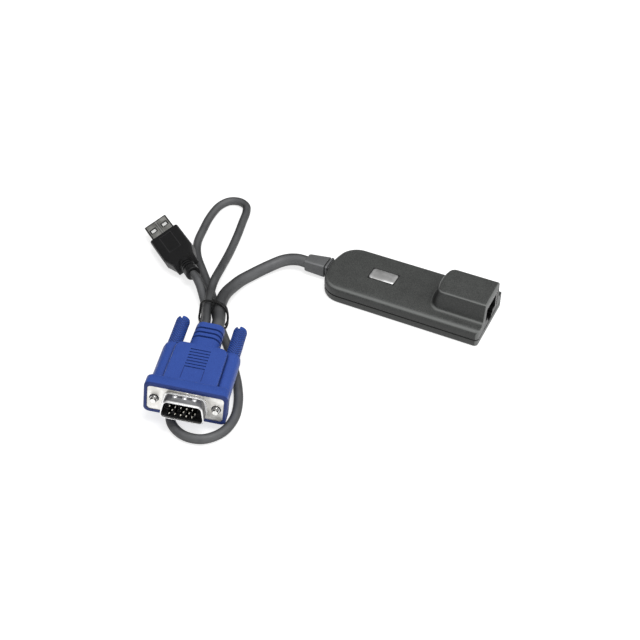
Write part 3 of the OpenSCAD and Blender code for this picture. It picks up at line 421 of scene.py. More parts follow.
# %% Table of the plain finishes
PLASTICS = {  # dark and light tone, grain and its depth in mm, roughness
    "black_plastic": (rgb(20, 20, 21), rgb(27, 27, 28), 0.5, 0.003, (0.25, 0.4)),
    "inner_mould": (rgb(190, 190, 184), rgb(206, 206, 200), 0.8, 0.02, (0.4, 0.55)),
    "chip_epoxy": (rgb(34, 34, 35), rgb(44, 44, 45), 0.2, 0.01, (0.5, 0.65)),
    "tie_black": (grey(14), grey(22), 0.3, 0.004, (0.3, 0.45)),
}
METALS = {  # colour, tint, roughness
    "nickel": (rgb(240, 239, 236), rgb(222, 220, 214), (0.2, 0.34)),
    "steel": (rgb(196, 196, 194), rgb(176, 175, 172), (0.22, 0.36)),
    "black_oxide": (rgb(70, 70, 72), rgb(54, 54, 56), (0.35, 0.5)),
    "contact_gold": (rgb(226, 186, 98), rgb(208, 164, 78), (0.15, 0.28)),
    "thread_steel": (rgb(248, 248, 247), rgb(236, 236, 235), (0.3, 0.4)),
}
for name, values in PLASTICS.items():
    plastic(name, *values)
for name, values in METALS.items():
    metal(name, *values)
plastic("white_plastic", rgb(246, 246, 243), rgb(252, 252, 250), 0.5, 0.003, (0.3, 0.4),
        recess=0.0)
print(len(LOOKS), "looks:", sorted(LOOKS))

# %% [markdown]
# ### The hood of the video plug
#
# The hood is one blue moulding round the metal shells. It has two faint moulding lines below
# its grip bars, and its front edge lies in the shade of the rim. Both are too shallow for
# geometry at this size, so masks in the plug's own frame paint them.

# %% Look of the hood
HOOD_BLUE, HOOD_LIGHT = rgb(48, 78, 162), rgb(58, 92, 180)
LINE_BLUE, NAVY = rgb(24, 40, 100), rgb(18, 28, 84)
LINE_X, LINE_Y, LINE_Z = 4.2, (7.2, 14.2), (3.0, 9.0)

tree, shader = plastic("hood_blue", HOOD_BLUE, HOOD_LIGHT, 0.3, 0.006, (0.36, 0.5), 11, reach=1.8)
place = use(tree, VIDEO_PLACE)
aside = off_centre(tree, off_centre(tree, place["X"]), LINE_X)
line = times(tree, remap(tree, aside, 0.08, 0.24, 0.75, 0.0),
             stripe(tree, place["Y"], *LINE_Y), stripe(tree, place["Z"], *LINE_Z))
paint(tree, shader, line, LINE_BLUE)
paint(tree, shader, remap(tree, place["Y"], 0.0, 0.7, 0.6, 0.0), NAVY)
darken_rim(tree, shader, 0.6, 0.55, 0.3)
print("hood look:", len(tree.nodes), "nodes")

# %% [markdown]
# ### The front shell
#
# One sheet is drawn into a plate, a raised step and the shroud, then plated. The plate is bright,
# and the step's edge, the rolled lip and the three pressed bumps get painted highlights. The drawn
# walls between them and the gaps get painted shade. The shape is in the CAD mesh, so only the
# finish and this light and shade are painted here, with sizes measured along the shroud.

# %% Look of the front shell
SHROUD_LEN, DENT_X, DENT_Y = 5.5, 3.9, -1.75
WALL_SHADE, GAP_SHADE, WHITE = rgb(116, 117, 121), rgb(60, 58, 54), grey(255)

tree, shader = metal("front_shell", rgb(246, 245, 242), rgb(222, 220, 215), (0.4, 0.5))
place = use(tree, VIDEO_PLACE)
aside = off_centre(tree, place["X"])
nearest = maths(tree, "MINIMUM", off_centre(tree, aside, DENT_X), aside)
dent_highlight = times(tree, remap(tree, nearest, 0.7, 1.05, 1.0, 0.0),
             remap(tree, off_centre(tree, place["Y"], DENT_Y), 0.45, 0.75, 1.0, 0.0))
# painted shade on the drawn walls of the shroud, but not on the bumps
wall_shade = times(tree, stripe(tree, place["Y"], 0.9 - SHROUD_LEN, -0.75, 0.08),
             maths(tree, "SUBTRACT", 1.0, dent_highlight), 0.9)
paint(tree, shader, wall_shade, WALL_SHADE)
# painted highlights on the rolled lip and the pressed bumps
lip_highlight = remap(tree, place["Y"], 0.9 - SHROUD_LEN, 0.7 - SHROUD_LEN)
paint(tree, shader, maths(tree, "MAXIMUM", dent_highlight, lip_highlight), WHITE)
# painted shade in the gaps, from ambient occlusion
air = use(tree, OPEN_AIR, Reach_mm=0.8)["Open"]
paint(tree, shader, remap(tree, air, 0.3, 0.8, 0.8, 0.0), GAP_SHADE)
# painted highlight on the step's edge
step = times(tree, stripe(tree, place["Y"], -0.8, -0.45, 0.05),
             remap(tree, place["Z"], -3.5, -2.5))
paint(tree, shader, step, WHITE)
print("front shell look:", len(tree.nodes), "nodes")

# %% [markdown]
# ### Pins and screw shafts
#
# The pins stand deep in the shroud and catch light at their tips only. Light alone would do that in
# a long render, but a mask along the plug gives it at once and without noise. The shafts of the
# thumbscrews get painted shade between their threads and a painted highlight on the turned end.

# %% Looks of the pins and the shafts
PIN_TIP, PIN_SHADE = -4.6, rgb(30, 28, 24)
SHAFT_SHADE, SHAFT_END_HIGHLIGHT = rgb(74, 73, 70), rgb(250, 250, 248)

tree, shader = metal("pin_plating", rgb(236, 234, 226), rgb(214, 210, 198), (0.15, 0.25))
along = use(tree, VIDEO_PLACE)["Y"]
paint(tree, shader, remap(tree, along, PIN_TIP + 0.2, PIN_TIP + 0.6), PIN_SHADE)

tree, shader = metal("shaft_steel", rgb(206, 206, 204), rgb(184, 184, 181), (0.22, 0.34))
along = use(tree, VIDEO_PLACE)["Y"]
# painted shade on the shaft between its threads
paint(tree, shader, remap(tree, along, 0.8, 1.4, 0.9, 0.0), SHAFT_SHADE)
# painted highlight on the turned end, which faces forward
forward = dot(tree, where(tree, "Normal"), -VIDEO.col[1].to_3d())
paint(tree, shader, remap(tree, forward, 0.75, 0.9, 0.0, 0.85), SHAFT_END_HIGHLIGHT)
print("pins are bright from", PIN_TIP, "to", PIN_TIP + 0.6, "mm along the plug")

# %% [markdown]
# ### The USB shell
#
# The shell is folded from one sheet, and its seam runs down the middle of the upper face. Painted
# shade darkens the sheet near its edges, round the two latch windows and next to the seam, and
# painted highlights brighten the seam and a spot near the front end. The windows are holes in the
# CAD mesh, and only their shaded outlines are painted.

# %% Look of the USB shell
USB_HALF, USB_LEN = 6.0, 11.5
WINDOW, WINDOW_HALF = (3.1, 5.8), (1.25, 1.25)
EDGE_WIDE, EDGE_SHARP = 0.95, 0.5

tree, shader = metal("usb_nickel", rgb(246, 246, 240), rgb(206, 206, 200), (0.32, 0.44))
place = use(tree, USB_PLACE)
side, along = off_centre(tree, place["X"]), place["Y"]
# painted shade near the edges of the sheet
edge = maths(tree, "MAXIMUM", remap(tree, side, USB_HALF - EDGE_WIDE, USB_HALF - EDGE_SHARP),
             remap(tree, along, USB_LEN - EDGE_WIDE, USB_LEN - EDGE_SHARP))
paint(tree, shader, times(tree, edge, 0.9), grey(22))
# painted shade round the latch windows
out = past_edge(tree, (side, along), WINDOW, WINDOW_HALF)
paint(tree, shader, remap(tree, out, 0.25, 0.8, 0.92, 0.0), grey(24))
above = remap(tree, place["Z"], 1.0, 1.5)
# painted shade next to the seam on the upper face
beside_shade = stripe(tree, side, 0.25, 0.75)
paint(tree, shader, times(tree, beside_shade, above, 0.4), rgb(60, 60, 58))
# painted highlights on the seam and on a spot near the front end
seam_highlight = remap(tree, side, 0.16, 0.3, 1.0, 0.0)
spot_highlight = times(tree, remap(tree, side, 0.5, 0.8, 1.0, 0.0),
             stripe(tree, along, USB_LEN - 1.9, USB_LEN - 0.9, 0.15))
paint(tree, shader, times(tree, maths(tree, "MAXIMUM", seam_highlight, spot_highlight), above), rgb(244, 244, 240))
print("USB shell", 2 * USB_HALF, "x", USB_LEN, "mm")

# %% [markdown]
# ### The USB grip
#
# The grip is moulded in black, and so dark that only the edges of its sunk panel and of its
# flat side catch a little light. They are lines of paint on the upper side, at the panel's
# real size, because a lamp that found them would also light the rest.

# %% Look of the USB grip
GRIP_HALF, PANEL, PANEL_HALF = 7.7, (None, -8.89), (3.08, 6.35)

tree, shader = plastic("usb_black", rgb(19, 19, 20), rgb(30, 30, 31), 0.4, 0.012, (0.34, 0.44),
                       gloss=0.35)
place = use(tree, USB_PLACE)
past = past_edge(tree, (place["X"], place["Y"]), PANEL, PANEL_HALF)
line = stripe(tree, past, -0.15, 0.15, 0.12)
lip_highlight = stripe(tree, off_centre(tree, place["X"]), GRIP_HALF - 0.5, GRIP_HALF - 0.15)
for mask, amount, colour in ((line, 0.55, rgb(78, 78, 80)), (lip_highlight, 0.7, rgb(84, 84, 86))):
    above = remap(tree, place["Z"], 1.0, 2.0, 0.0, amount)
    paint(tree, shader, times(tree, mask, above), colour)
print("USB grip", 2 * GRIP_HALF, "mm wide")

# %% [markdown]
# ### Jacket of the cables, and the boot
#
# The jacket is drawn over the wires as soft plastic, so it is finer than a moulding and has a
# broad, dull shine. Against a white table its sides mirror the dark room: a mask paints shade on
# surfaces seen edge on, which is cheaper than building that room. The boot is moulded, and its long
# ridges get a painted highlight.

# %% Looks of jacket and boot
JACKET_DARK, JACKET_LIGHT = rgb(96, 97, 99), rgb(112, 113, 114)
BOOT_DARK, RIDGE_HIGHLIGHT = rgb(98, 99, 100), rgb(170, 171, 172)

tree, shader = blank("jacket")
skin = use(tree, MOULDED, Grain_mm=0.5, Drift_mm=9.0)
worn = use(tree, WEAR, Size_mm=14.0)["Mask"]
wire(tree, shader["Base Color"],
     mix(tree, remap(tree, skin["Drift"], 0.3, 0.7), JACKET_DARK, JACKET_LIGHT))
wire(tree, shader["Roughness"], remap(tree, worn, 0, 1, 0.5, 0.4))
wire(tree, shader["Specular IOR Level"], 0.4)
emboss(tree, shader, 0.004, skin["Grain"])
darken_rim(tree, shader, 0.9, 0.12, 0.16, 0.72)

tree, shader = plastic("boot_grey", BOOT_DARK, JACKET_LIGHT, 0.4, 0.006, (0.4, 0.5))
# painted highlight on the long ridges
ridge = stripe(tree, apart(tree, where(tree, "Normal"))[2], 0.45, 0.85, 0.12)
paint(tree, shader, times(tree, ridge, 0.5), RIDGE_HIGHLIGHT)
print("boot look:", len(tree.nodes), "nodes")

# %% [markdown]
# ### Circuit board, capacitors and wires
#
# These sit inside the housing and show only in cut or open views, so one simple look each will
# do. The board shows traces under its solder mask, the capacitors have a polarity band, and
# each wire has its own colour, taken from its place across the bundle.

# %% Looks of board, capacitors and wires
BLACK, CELL, BUNDLE_HALF = (0, 0, 0, 1), 6 * MM, 3.4
WIRE_COLOURS = [rgb(178, 34, 28), rgb(34, 128, 52), rgb(30, 60, 160), rgb(226, 196, 40),
                rgb(238, 238, 236), grey(40), rgb(126, 78, 42)]

tree, shader = blank("solder_mask")
traces = put(tree, "ShaderNodeTexBrick", {"offset": 0.5}, Vector=where(tree), Scale=1 / CELL,
             Mortar_Size=0.06, Color1=BLACK, Color2=BLACK, Mortar=WHITE).outputs[0]
wire(tree, shader["Base Color"], mix(tree, traces, rgb(14, 84, 44), rgb(30, 116, 62)))
wire(tree, shader["Roughness"], 0.3)
emboss(tree, shader, 0.02, traces)

tree, shader = blank("capacitor_case")
band = remap(tree, object_mm(tree)[2], 5.9, 5.95)
wire(tree, shader["Base Color"], mix(tree, band, rgb(182, 128, 60), rgb(70, 66, 62)))
wire(tree, shader["Roughness"], 0.42)

tree, shader = blank("wire_insulation")
across = remap(tree, object_mm(tree)[1], -BUNDLE_HALF, BUNDLE_HALF)
ramp = put(tree, "ShaderNodeValToRGB", Fac=across)
ramp.color_ramp.interpolation = "CONSTANT"
steps = ramp.color_ramp.elements
while len(steps) < len(WIRE_COLOURS):
    steps.new(0.5)
for i, colour in enumerate(WIRE_COLOURS):
    steps[i].position, steps[i].color = i / len(WIRE_COLOURS), colour
wire(tree, shader["Base Color"], ramp.outputs[0])
wire(tree, shader["Roughness"], 0.4)
print("looks inside the housing, with", len(WIRE_COLOURS), "wire colours")


# %% [markdown]
# ## Edges
#
# No moulded or folded edge is perfectly sharp: it always catches a thin line of light. Rounding
# every edge in CAD would be slow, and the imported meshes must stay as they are. So one
# geometry-nodes modifier joins the corners of a mesh and smooths its shading by angle, and a
# small bevel rounds the edges that the camera sees.

# %% Tree that smooths the shading by angle
GEOMETRY = "NodeSocketGeometry"
SAME_PLACE, SMOOTH_UNDER, BEVEL_OVER = 2e-6, 0.6, 0.7


def make_soften():
    taken = {"Geometry": (GEOMETRY, None), "Limit": (FLOAT, SMOOTH_UNDER)}
    tree, gin, gout = group("soften", taken, {"Geometry": GEOMETRY}, "GeometryNodeTree")
    joined = put(tree, "GeometryNodeMergeByDistance", Geometry=gin["Geometry"],
                 Distance=SAME_PLACE).outputs[0]
    faces = put(tree, "GeometryNodeSetShadeSmooth", {"domain": "FACE"}, Geometry=joined,
                Shade_Smooth=True).outputs[0]
    angle = put(tree, "GeometryNodeInputMeshEdgeAngle").outputs[0]
    flat = put(tree, "FunctionNodeCompare", {"operation": "LESS_THAN", "data_type": "FLOAT"},
               A=angle, B=gin["Limit"]).outputs[0]
    edges = put(tree, "GeometryNodeSetShadeSmooth", {"domain": "EDGE"}, Geometry=faces,
                Shade_Smooth=flat).outputs[0]
    wire(tree, gout["Geometry"], edges)
    return tree


def by_tree(piece, tree, **values):
    """Adds a geometry-nodes modifier, with its inputs set by their identifiers."""
    made = piece.modifiers.new(tree.name, "NODES")
    made.node_group = tree
    for name, value in values.items():
        made[tree.interface.items_tree[name].identifier] = value


SOFTEN = make_soften()


def soften(piece, bevel=0.0, limit=SMOOTH_UNDER):
    by_tree(piece, SOFTEN, Limit=limit)
    if bevel:
        edge = piece.modifiers.new("edge", "BEVEL")
        edge.width, edge.segments = bevel * MM, 2
        edge.limit_method, edge.angle_limit = "ANGLE", BEVEL_OVER
        edge.harden_normals = True


print("edges under", round(math.degrees(SMOOTH_UNDER)), "degrees are shaded smooth")

# %% [markdown]
# ## Looks on the CAD nodes
#
# Each node of the CAD model is one real piece, and most pieces have one finish. A table from
# finish to nodes says this once. The bevel differs from piece to piece: a moulded hood is
# rounder at its edges than a folded shell, and hidden pieces need none.

# %% Give each node its finish and edges
NODE_LOOKS = {
    "housing": ["top_shell", "bottom_shell"],
    "hood_blue": ["video_hood"],
    "usb_black": ["usb_grip"],
    "black_plastic": ["jack_body", "video_insulator"],
    "white_plastic": ["usb_tongue", "board_connector"],
    "inner_mould": ["video_inner_mould"],
    "chip_epoxy": ["isolation_transformer", "main_processor", "video_digitizer"],
    "front_shell": ["video_front_shell"],
    "nickel": ["video_rear_shell", "jack_shield"],
    "shaft_steel": ["left_screw_shaft", "right_screw_shaft"],
    "steel": ["left_retaining_clip", "right_retaining_clip", "quartz_crystal"],
    "black_oxide": ["housing_screws"],
    "contact_gold": ["jack_contacts", "usb_contacts"],
    "pin_plating": ["video_pins"],
    "usb_nickel": ["usb_shell"],
    "boot_grey": ["cable_boot"],
    "solder_mask": ["circuit_board"],
    "capacitor_case": ["capacitors"],
    "wire_insulation": ["cable_wires"],
}
EDGE_MM = {"top_shell": 0.12, "bottom_shell": 0.12, "video_hood": 0.14, "video_front_shell": 0.06,
           "usb_shell": 0.05, "usb_grip": 0.14, "cable_boot": 0.12, "jack_body": 0.08,
           "jack_shield": 0.04}

for look, members in NODE_LOOKS.items():
    for node in members:
        NODES[node].material_slots[0].material = LOOKS[look]
        soften(NODES[node], EDGE_MM.get(node, 0.0))
print("finished", sum(map(len, NODE_LOOKS.values())), "nodes,", len(EDGE_MM), "with a bevel")


# %% [markdown]
# ## Pieces made here
#
# The pieces that replace CAD nodes are built as plain meshes at their real place, so that they
# ride on a body as a CAD node does. Most are rings of points with a skin over them. What their
# modifiers make is kept as the mesh itself, because live modifiers would be worked out again
# in every pose.

# %% Helpers that make and finish a piece
def add_object(name, data):
    piece = bpy.data.objects.new(name, data)
    bpy.context.scene.collection.objects.link(piece)
    return piece


def settle(piece):
    """Keeps what the modifiers made as the piece's own mesh."""
    bpy.context.view_layer.update()
    shown = piece.evaluated_get(bpy.context.evaluated_depsgraph_get())
    kept = bpy.data.meshes.new_from_object(shown)
    piece.modifiers.clear()
    piece.data = kept
    return piece


def finish_mesh(name, mesh, look):
    data = bpy.data.meshes.new(name)
    mesh.to_mesh(data)
    mesh.free()
    data.materials.append(LOOKS[look])
    piece = add_object(name, data)
    soften(piece)
    return settle(piece)


def skin_over(name, rings, look):
    """Faces between rings of equally many points, and a cap on each end."""
    mesh = bmesh.new()
    rings = [[mesh.verts.new(point) for point in ring] for ring in rings]
    n = len(rings[0])
    for a, b in zip(rings, rings[1:]):
        for k in range(n):
            mesh.faces.new((a[k], b[k], b[(k + 1) % n], a[(k + 1) % n]))
    mesh.faces.new(rings[0])
    mesh.faces.new(rings[-1][::-1])
    bmesh.ops.recalc_face_normals(mesh, faces=mesh.faces)
    return finish_mesh(name, mesh, look)


print("piece helpers ready")


# %% [markdown]
# ## Cables and tie
#
# A limp cord lies where it was dropped. It could be simulated, but the photograph fixes its
# run, so the routes repeat the ones of the CAD source. A smooth line runs through their
# points, with a parameter that follows the distance between them, so bends stay even where
# the points are uneven.

# %% A smooth line through a route
def blend(t, low, a, high, b):
    return (high - t) / (high - low) * a + (t - low) / (high - low) * b


def smooth_line(points, step):
    """Points about step apart on a smooth curve through the given ones, all in millimetres."""
    p = [Vector(q) for q in points]
    p = [2 * p[0] - p[1], *p, 2 * p[-1] - p[-2]]
    line = []
    for a, b, c, d in zip(p, p[1:], p[2:], p[3:]):
        t0, t1 = 0.0, (b - a).length ** 0.5
        t2 = t1 + (c - b).length ** 0.5
        t3 = t2 + (d - c).length ** 0.5
        n = max(1, round((c - b).length / step))
        for i in range(n):
            t = t1 + (t2 - t1) * i / n
            middle = blend(t, t1, b, t2, c)
            first = blend(t, t0, blend(t, t0, a, t1, b), t2, middle)
            second = blend(t, t1, middle, t3, blend(t, t2, c, t3, d))
            line.append(blend(t, t1, first, t2, second))
    line.append(p[-2])
    return [q * MM for q in line]


def length_of(line):
    return sum((b - a).length for a, b in zip(line, line[1:]))


print("a straight 30 mm route gives", len(smooth_line([(0, 0, 0), (30, 0, 0)], 1.2)), "points")


# %% [markdown]
# ### Tube round a line
#
# A cord is a circle swept along its line. Each ring is turned as little as possible from the
# one before, so the jacket doesn't twist. The tie is the same tube, thinner and with round
# ends: its last rings shrink as a quarter of a sine does.

# %% A tube round a line
STEEP, END_START = 0.1, 0.6


def tube(name, line, radius, sides, look, ends=0):
    last = len(line) - 1
    heading = [(line[min(i + 1, last)] - line[max(i - 1, 0)]).normalized() for i in range(last + 1)]
    side = heading[0].cross(Vector((0, 0, 1)))
    side = (side if side.length > STEEP else heading[0].cross(Vector((0, 1, 0)))).normalized()
    turns = [2 * math.pi * k / sides for k in range(sides)]
    rings = []
    for i, (place, along) in enumerate(zip(line, heading)):
        side = (side - side.dot(along) * along).normalized()
        up = along.cross(side)
        to_end = min(i, last - i)
        r = radius * (math.sin(math.pi / 2 * min(1, (to_end + END_START) / ends)) if ends else 1)
        rings.append([place + r * (side * math.cos(a) + up * math.sin(a)) for a in turns])
    return skin_over(name, rings, look)


print("tube helper ready")


# %% [markdown]
# ### Routes
#
# The points are read off the real run: out of the boot, across the table, up into the relief,
# and for the thin cable two loops and a way under the bundle. Both ends are taken from the
# plugs' frames, so a cord always meets its plug.

# %% Routes of the two cables and the tie
def on(matrix, *place):
    return tuple(v / MM for v in (matrix @ (Vector(place) * MM)))


BOOT_TIP, RELIEF_END, USB_TAIL = (-50.6, -1.1, 5), 46.8, -33.2
MAIN_X, USB_X = 2.1, -3.1
MAIN_ROUTE = [
    BOOT_TIP, (-54.52, -1.1, 5),
    (-58.9, -2.4, 4.6), (-62.2, -4.8, 4.1), (-65.3, -8.8, 3.5), (-68.1, -13.4, 3.1),
    (-70.6, -18.7, 3), (-72.5, -24.8, 3.6), (-73.1, -31.5, 4.6), (-72.8, -37.5, 5.9),
    (-71.4, -43.4, 7.3), (-68.9, -49.8, 8.7),
    on(VIDEO, MAIN_X, RELIEF_END + 5.6, 0), on(VIDEO, MAIN_X, RELIEF_END, 0)]
USB_ROUTE = [
    on(VIDEO, USB_X, RELIEF_END, 0), on(VIDEO, USB_X, RELIEF_END + 4, 0),
    (-72.2, -55.4, 9.8), (-75.9, -47.3, 8.4), (-79.1, -40.5, 7), (-81.6, -33.2, 6.6),
    (-84.9, -21, 4.4), (-87.6, -10.8, 2.6), (-89.8, -2, 2), (-92.1, 7, 2), (-95, 17, 2),
    (-97.2, 24.4, 2), (-99.7, 28.6, 2), (-104.3, 30.3, 2), (-108.9, 28.6, 2),
    (-111.5, 23.4, 2), (-111.4, 14, 2), (-108.9, 2, 2), (-106, -8, 2), (-101, -16.4, 2),
    (-93, -25, 2), (-84.6, -33.6, 2), (-78, -40.9, 2.3), (-72.6, -48.2, 3.1),
    (-68.6, -53.2, 3.2), (-61.6, -60, 2.7), (-54.6, -67, 2), (-47.8, -75.2, 2),
    (-41.4, -83.4, 2), (-36.4, -91.8, 2), (-33.6, -100.2, 2), (-34.2, -108.8, 2),
    (-39.2, -115.2, 2), (-47, -116.9, 2), (-54.9, -113.4, 2), (-59.6, -105.6, 2),
    (-67.2, -80.8, 2), (-71.6, -64, 2.6), (-74.4, -54, 3.1), (-76.5, -50.2, 3.1),
    (-79.4, -45.8, 3.8), (-82.4, -42.4, 5), (-85.3, -39.4, 6.4),
    on(USB, 0, USB_TAIL - 4, 0), on(USB, 0, USB_TAIL, 0)]
TIE_ROUTE = [
    (-71.6, -51, 12.3), (-68.3, -51.1, 12.3), (-65.1, -51.4, 11.6), (-63.8, -52, 9.2),
    (-63.4, -52.8, 6), (-63.4, -53.8, 3), (-64.8, -54.8, 0.7), (-69.4, -55.2, 0.5),
    (-74.2, -55.6, 0.5), (-76.3, -55.3, 1.3), (-76.9, -54.9, 3.2), (-76.9, -54.2, 5),
    (-76.8, -53.4, 7.5), (-76.3, -52.9, 10.5), (-73.9, -52.5, 12.3), (-70.8, -52.2, 12.7),
    (-67.4, -52.3, 12.9), (-64.3, -52.9, 11.9), (-62.6, -53.8, 9.2), (-62.3, -54.9, 6.6),
    (-62.9, -56.2, 5)]
print("routes of", len(MAIN_ROUTE), len(USB_ROUTE), "and", len(TIE_ROUTE), "points")

# %% The two cords and the tie
MAIN_R, USB_R, TIE_R = 2.8, 2.0, 0.5
CORD_STEP, TIE_STEP = 1.2, 0.5

main_line = smooth_line(MAIN_ROUTE, CORD_STEP)
main_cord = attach(tube("main_cord", main_line, MAIN_R * MM, 40, "jacket"), "root")
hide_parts("main_cable")

usb_line = smooth_line(USB_ROUTE, CORD_STEP)
usb_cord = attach(tube("usb_cord", usb_line, USB_R * MM, 32, "jacket"), "root")
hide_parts("usb_cable")

tie_line = smooth_line(TIE_ROUTE, TIE_STEP)
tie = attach(tube("tie_wire_ring", tie_line, TIE_R * MM, 12, "tie_black", ends=2), "root")
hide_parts("cable_tie")
for name, line in (("thick cable", main_line), ("thin cable", usb_line), ("tie", tie_line)):
    print(name, round(length_of(line) / MM, 1), "mm long")

# %% [markdown]
# ## Knurled knobs
#
# Each thumbscrew is turned by a grip covered in small diamonds, where two sets of grooves cross. A
# bump would do from afar, but the outline would stay smooth. Here the points of a fine tube are
# pushed in by the product of two opposed helices, so the outline is knurled too, and the same
# product paints shade into the grooves.

# %% Look of the knobs
KNOB_R, KNOB_LEN, KNOB_Y, SCREW_HALF = 3.0, 20.0, 29.5, 12.5
KNURL_TURNS, KNURL_PITCH, KNURL_FROM, KNURL_END, FADE = 14, 1.35, 0.7, 1.5, 1.0
GROOVE_SHADE_BLUE = rgb(14, 24, 70)

tree, shader = plastic("knurled_blue", rgb(40, 74, 158), rgb(50, 90, 180), 0.3, 0.006,
                       (0.38, 0.5))
place = use(tree, VIDEO_PLACE)
across = maths(tree, "SUBTRACT", off_centre(tree, place["X"]), SCREW_HALF)
turn = times(tree, maths(tree, "ARCTAN2", place["Z"], across), KNURL_TURNS / 2)
along = times(tree, maths(tree, "SUBTRACT", place["Y"], KNOB_Y), math.pi / KNURL_PITCH)
waves = [off_centre(tree, maths(tree, "SINE", maths(tree, kind, turn, along)))
         for kind in ("ADD", "SUBTRACT")]
# painted shade in the grooves of the knurl, on the grip only
groove_shade = remap(tree, times(tree, *waves), 0.0, 0.45, 0.9, 0.0)
start, end = KNOB_Y + KNURL_FROM, KNOB_Y + KNOB_LEN - KNURL_END
grip = times(tree, remap(tree, place["Y"], start, start + FADE),
             remap(tree, place["Y"], end - FADE, end, 1.0, 0.0))
paint(tree, shader, times(tree, groove_shade, grip), GROOVE_SHADE_BLUE)
darken_rim(tree, shader, 0.6, 0.5, 0.25)
print("knurl of", KNURL_TURNS, "grooves each way, pitch", KNURL_PITCH, "mm")

# %% [markdown]
# ### Shape of a knob and its slot
#
# The knob narrows at its neck and rounds off at its top. The screwdriver slot crosses that
# top. Leaving it out of the tube's rings would need special faces, so a block cuts it with a
# Boolean modifier and is then thrown away.

# %% A knurled knob with a cut slot
KNURL_AROUND, KNURL_ROWS, KNURL_DEEP, KNURL_STEEP, PLAIN_IN = 112, 130, 0.2, 2.5, 0.02
SLOT_TURN, SLOT_SIZE, SLOT_SMOOTH = math.radians(-20), (1.5, 4.2, 8), 0.9


def knob_profile():
    neck = [(0.0, 2.5), (0.2, 2.75), (0.5, 2.95)]
    grip_len = KNOB_LEN - KNURL_FROM - KNURL_END
    grip = [(KNURL_FROM + grip_len * i / KNURL_ROWS, KNOB_R) for i in range(KNURL_ROWS + 1)]
    top = [(KNOB_LEN - 1.1, 2.96), (KNOB_LEN - 0.5, 2.8), (KNOB_LEN - 0.15, 2.5), (KNOB_LEN, 2.0)]
    return neck + grip + top


def knurled(y, a):
    """The radius of the grip at a height and an angle."""
    u, v = KNURL_TURNS * a / 2, math.pi * y / KNURL_PITCH
    fade = max(0, min(1, (y - KNURL_FROM) / FADE, (KNOB_LEN - KNURL_END - y) / FADE))
    rise = min(1, KNURL_STEEP * abs(math.sin(u + v) * math.sin(u - v)))
    return KNOB_R - KNURL_DEEP * fade * (1 - rise)


def knob(name, side):
    rings = []
    for y, r in knob_profile():
        ring = []
        for k in range(KNURL_AROUND):
            a = 2 * math.pi * k / KNURL_AROUND
            q = knurled(y, a) if r == KNOB_R else r - PLAIN_IN
            place = Vector((q * math.cos(a) + side * SCREW_HALF, KNOB_Y + y, q * math.sin(a)))
            ring.append(VIDEO @ (place * MM))
        rings.append(ring)
    return cut_slot(skin_over(name, rings, "knurled_blue"), side)


def cut_slot(piece, side):
    top = Matrix.Translation(Vector((side * SCREW_HALF, KNOB_Y + KNOB_LEN, 0)) * MM)
    size = Matrix.Diagonal([s * MM for s in SLOT_SIZE] + [1])
    block = bmesh.new()
    bmesh.ops.create_cube(block, size=1)
    bmesh.ops.transform(block, matrix=VIDEO @ top @ Matrix.Rotation(SLOT_TURN, 4, "Y") @ size,
                        verts=block.verts)
    block = finish_mesh(piece.name + "_cut", block, "knurled_blue")
    cut = piece.modifiers.new("slot", "BOOLEAN")
    cut.object, cut.solver = block, "EXACT"
    settle(piece)
    bpy.data.objects.remove(block)
    soften(piece, limit=SLOT_SMOOTH)
    return settle(piece)


for name, side in (("left", -1), ("right", 1)):
    made = knob(name + "_knurled_knob", side)
    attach(made, name + "_screw")
    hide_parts(name + "_knob")
    print(name, "knob:", len(made.data.polygons), "faces")


# %% [markdown]
# ## Threads of the thumbscrews
#
# A thread is one ridge that winds round its shaft at an even pitch. A spiral curve with a small
# round profile swept along it gives just that, so a node tree with the pitch, the turns and the
# sizes as inputs makes it, and the result is kept as a plain mesh on the screw's own body.

# %% Tree that winds a thread
SHAFT_R, RIDGE_R, THREAD_PITCH, THREAD_TURNS, THREAD_TOP = 1.4, 0.15, 0.635, 3.0, 0.45
WINDING_STEPS, RIDGE_SIDES = 28, 8


def make_thread_tree():
    tree, gin, gout = group("thread", {
        "Core": (FLOAT, SHAFT_R * MM), "Pitch": (FLOAT, THREAD_PITCH * MM),
        "Turns": (FLOAT, THREAD_TURNS), "Ridge": (FLOAT, RIDGE_R * MM),
        "Finish": ("NodeSocketMaterial", None)}, {"Geometry": GEOMETRY}, "GeometryNodeTree")
    winding = put(tree, "GeometryNodeCurveSpiral", Resolution=WINDING_STEPS,
                  Rotations=gin["Turns"], Start_Radius=gin["Core"], End_Radius=gin["Core"],
                  Height=times(tree, gin["Pitch"], gin["Turns"])).outputs[0]
    profile = put(tree, "GeometryNodeCurvePrimitiveCircle", {"mode": "RADIUS"},
                  Resolution=RIDGE_SIDES, Radius=gin["Ridge"]).outputs[0]
    ridge = put(tree, "GeometryNodeCurveToMesh", Curve=winding, Profile_Curve=profile,
                Fill_Caps=True).outputs[0]
    real = put(tree, "GeometryNodeRealizeInstances", Geometry=ridge).outputs[0]
    dressed = put(tree, "GeometryNodeSetMaterial", Geometry=real, Material=gin["Finish"])
    wire(tree, gout["Geometry"], dressed.outputs[0])
    return tree


THREAD_TREE = make_thread_tree()
print("thread tree:", len(THREAD_TREE.nodes), "nodes")


